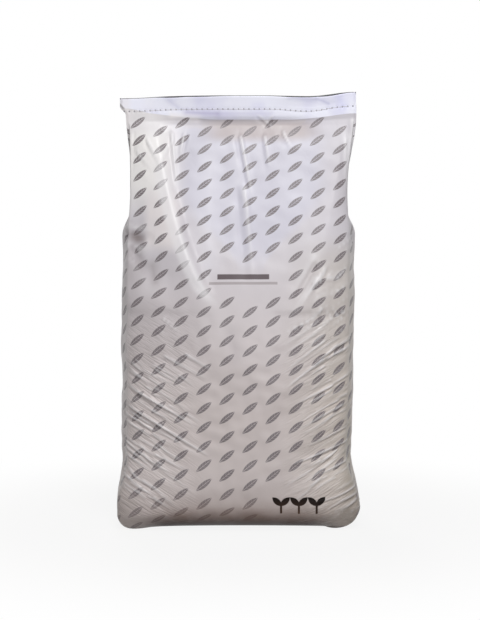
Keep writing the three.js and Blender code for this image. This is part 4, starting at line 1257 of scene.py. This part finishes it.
# The studio's lights: name, place, target, size, the setting that holds its power, share of it, colour
LIGHTS = (
    ("key_light", (0.35, -1.6, 2.6), (0, 0, 0.45), (0.8, 0.6), "key_power", 1.0, WHITE[:3]),
    ("fill_light", (0.2, -2.8, 0.9), (0, 0, 0.4), (1.4, 1.0), "fill_power", 1.0, (0.98, 0.98, 1.0)),
    ("back_light", (-0.5, 2.3, 2.3), (0, 0, 0.45), (0.9, 0.7), "key_power", 0.9, WHITE[:3]),
)
FLOOR_REACH, FLOOR_GREY = 6.0, (0.5, 0.49, 0.48, 1.0)
# How white the camera sees the floor: the distances between which it turns white, and its least share
FLOOR_FADE, LEAST_WHITE = (0.3, 0.9), 0.88
DIM_SKY = 0.145
PICTURE_HEIGHT, PIXEL_SIZE = 620, 0.00194
PICTURE_MIDDLE = Vector((0.0029, 0.0, 0.409))
SENSOR_HEIGHT = 36.0


def aim(thing, place, target):
    """Puts a lamp or a camera in its place and turns it to its target."""
    thing.location = place
    thing.rotation_euler = (Vector(target) - Vector(place)).to_track_quat("-Z", "Y").to_euler()


def area_light(name, place, target, size, power, colour):
    data = bpy.data.lights.new(name, "AREA")
    data.shape = "RECTANGLE"
    data.size, data.size_y = size
    data.energy = power
    data.color = colour
    aim(new_object(name, data), place, target)


def seen_white(nodes, dark, plain):
    """The plain shader for camera, glossy and transmission rays, and the dark one for all others."""
    path = nodes.add("ShaderNodeLightPath").outputs
    seen = nodes.greatest(*(path[f"Is {kind} Ray"] for kind in ("Camera", "Glossy", "Transmission")))
    mix = nodes.add("ShaderNodeMixShader", {0: seen, 1: dark, 2: plain})
    return mix.outputs[0]


class COMPOSTBAG_OT_stage(bpy.types.Operator):
    """Set up the pale floor, the soft lights, the white background and the camera"""

    bl_idname = "compostbag.stage"
    bl_label = "Studio"

    def execute(self, context):
        settings = context.scene.compost_bag_stage
        scene = context.scene
        scene.view_settings.view_transform = "Standard"
        self.make_floor()
        self.make_world(scene)
        for name, place, target, size, setting, share, colour in LIGHTS:
            area_light(name, place, target, size, getattr(settings, setting) * share, colour)
        self.make_camera(scene, settings)
        return {"FINISHED"}

    def make_floor(self):
        mesh = bpy.data.meshes.new("studio_floor")
        corners = [(x * FLOOR_REACH, y * FLOOR_REACH, 0) for x, y in ((-1, -1), (1, -1), (1, 1), (-1, 1))]
        mesh.from_pydata(corners, [], [(0, 1, 2, 3)])
        floor = new_object("studio_floor", mesh)
        material, nodes, shader = new_material("pale_floor")
        nodes.fill(shader, {"Base Color": FLOOR_GREY, "Roughness": 0.9})
        white = nodes.add("ShaderNodeEmission", {"Color": WHITE, "Strength": 1.0})
        place = nodes.add("ShaderNodeTexCoord").outputs["Object"]
        away = nodes.add("ShaderNodeVectorMath", {0: place}, operation="LENGTH").outputs["Value"]
        plain = nodes.step(away, *FLOOR_FADE, LEAST_WHITE)
        part_white = nodes.add("ShaderNodeMixShader", {0: plain, 1: shader.outputs[0], 2: white.outputs[0]})
        output = next(node for node in nodes.tree.nodes if node.type == "OUTPUT_MATERIAL")
        nodes.feed(output.inputs["Surface"], seen_white(nodes, shader.outputs[0], part_white.outputs[0]))
        mesh.materials.append(material)

    def make_world(self, scene):
        world = bpy.data.worlds.new("white_studio")
        world.use_nodes = True
        nodes = Nodes(world.node_tree)
        nodes.tree.nodes.clear()
        dim, white = (nodes.add("ShaderNodeBackground", {"Color": WHITE, "Strength": strength}).outputs[0]
                      for strength in (DIM_SKY, 1.0))
        nodes.add("ShaderNodeOutputWorld", {"Surface": seen_white(nodes, dim, white)})
        scene.world = world

    def make_camera(self, scene, settings):
        data = bpy.data.cameras.new("photo_camera")
        data.sensor_fit = "VERTICAL"
        data.sensor_height = SENSOR_HEIGHT
        data.lens = SENSOR_HEIGHT * settings.camera_distance / (PICTURE_HEIGHT * PIXEL_SIZE)
        angle = settings.camera_elevation
        offset = Vector((0, -math.cos(angle), math.sin(angle))) * settings.camera_distance
        scene.camera = new_object("photo_camera", data)
        aim(scene.camera, PICTURE_MIDDLE + offset, PICTURE_MIDDLE)


class COMPOSTBAG_PT_panel(bpy.types.Panel):
    """Lists the bag's pieces and sizes in the sidebar"""

    bl_idname = "COMPOSTBAG_PT_panel"
    bl_label = "Compost Bag"
    bl_space_type = "VIEW_3D"
    bl_region_type = "UI"
    bl_category = "Compost Bag"

    def draw(self, context):
        for settings in (context.scene.compost_bag, context.scene.compost_bag_stage):
            for name in settings.__annotations__:
                self.layout.prop(settings, name)
        for operator in OPERATORS:
            self.layout.operator(operator.bl_idname)


OPERATORS = (COMPOSTBAG_OT_film, COMPOSTBAG_OT_stitches, COMPOSTBAG_OT_stage)
CLASSES = (CompostBagSettings, CompostBagStageSettings, *OPERATORS, COMPOSTBAG_PT_panel)


def register():
    for item in CLASSES:
        bpy.utils.register_class(item)
    bpy.types.Scene.compost_bag = PointerProperty(type=CompostBagSettings)
    bpy.types.Scene.compost_bag_stage = PointerProperty(type=CompostBagStageSettings)


def unregister():
    del bpy.types.Scene.compost_bag_stage
    del bpy.types.Scene.compost_bag
    for item in reversed(CLASSES):
        bpy.utils.unregister_class(item)


def main():
    register()
    bpy.ops.compostbag.film()
    bpy.ops.compostbag.stitches()
    bpy.ops.compostbag.stage()


if __name__ == "__main__":
    main()
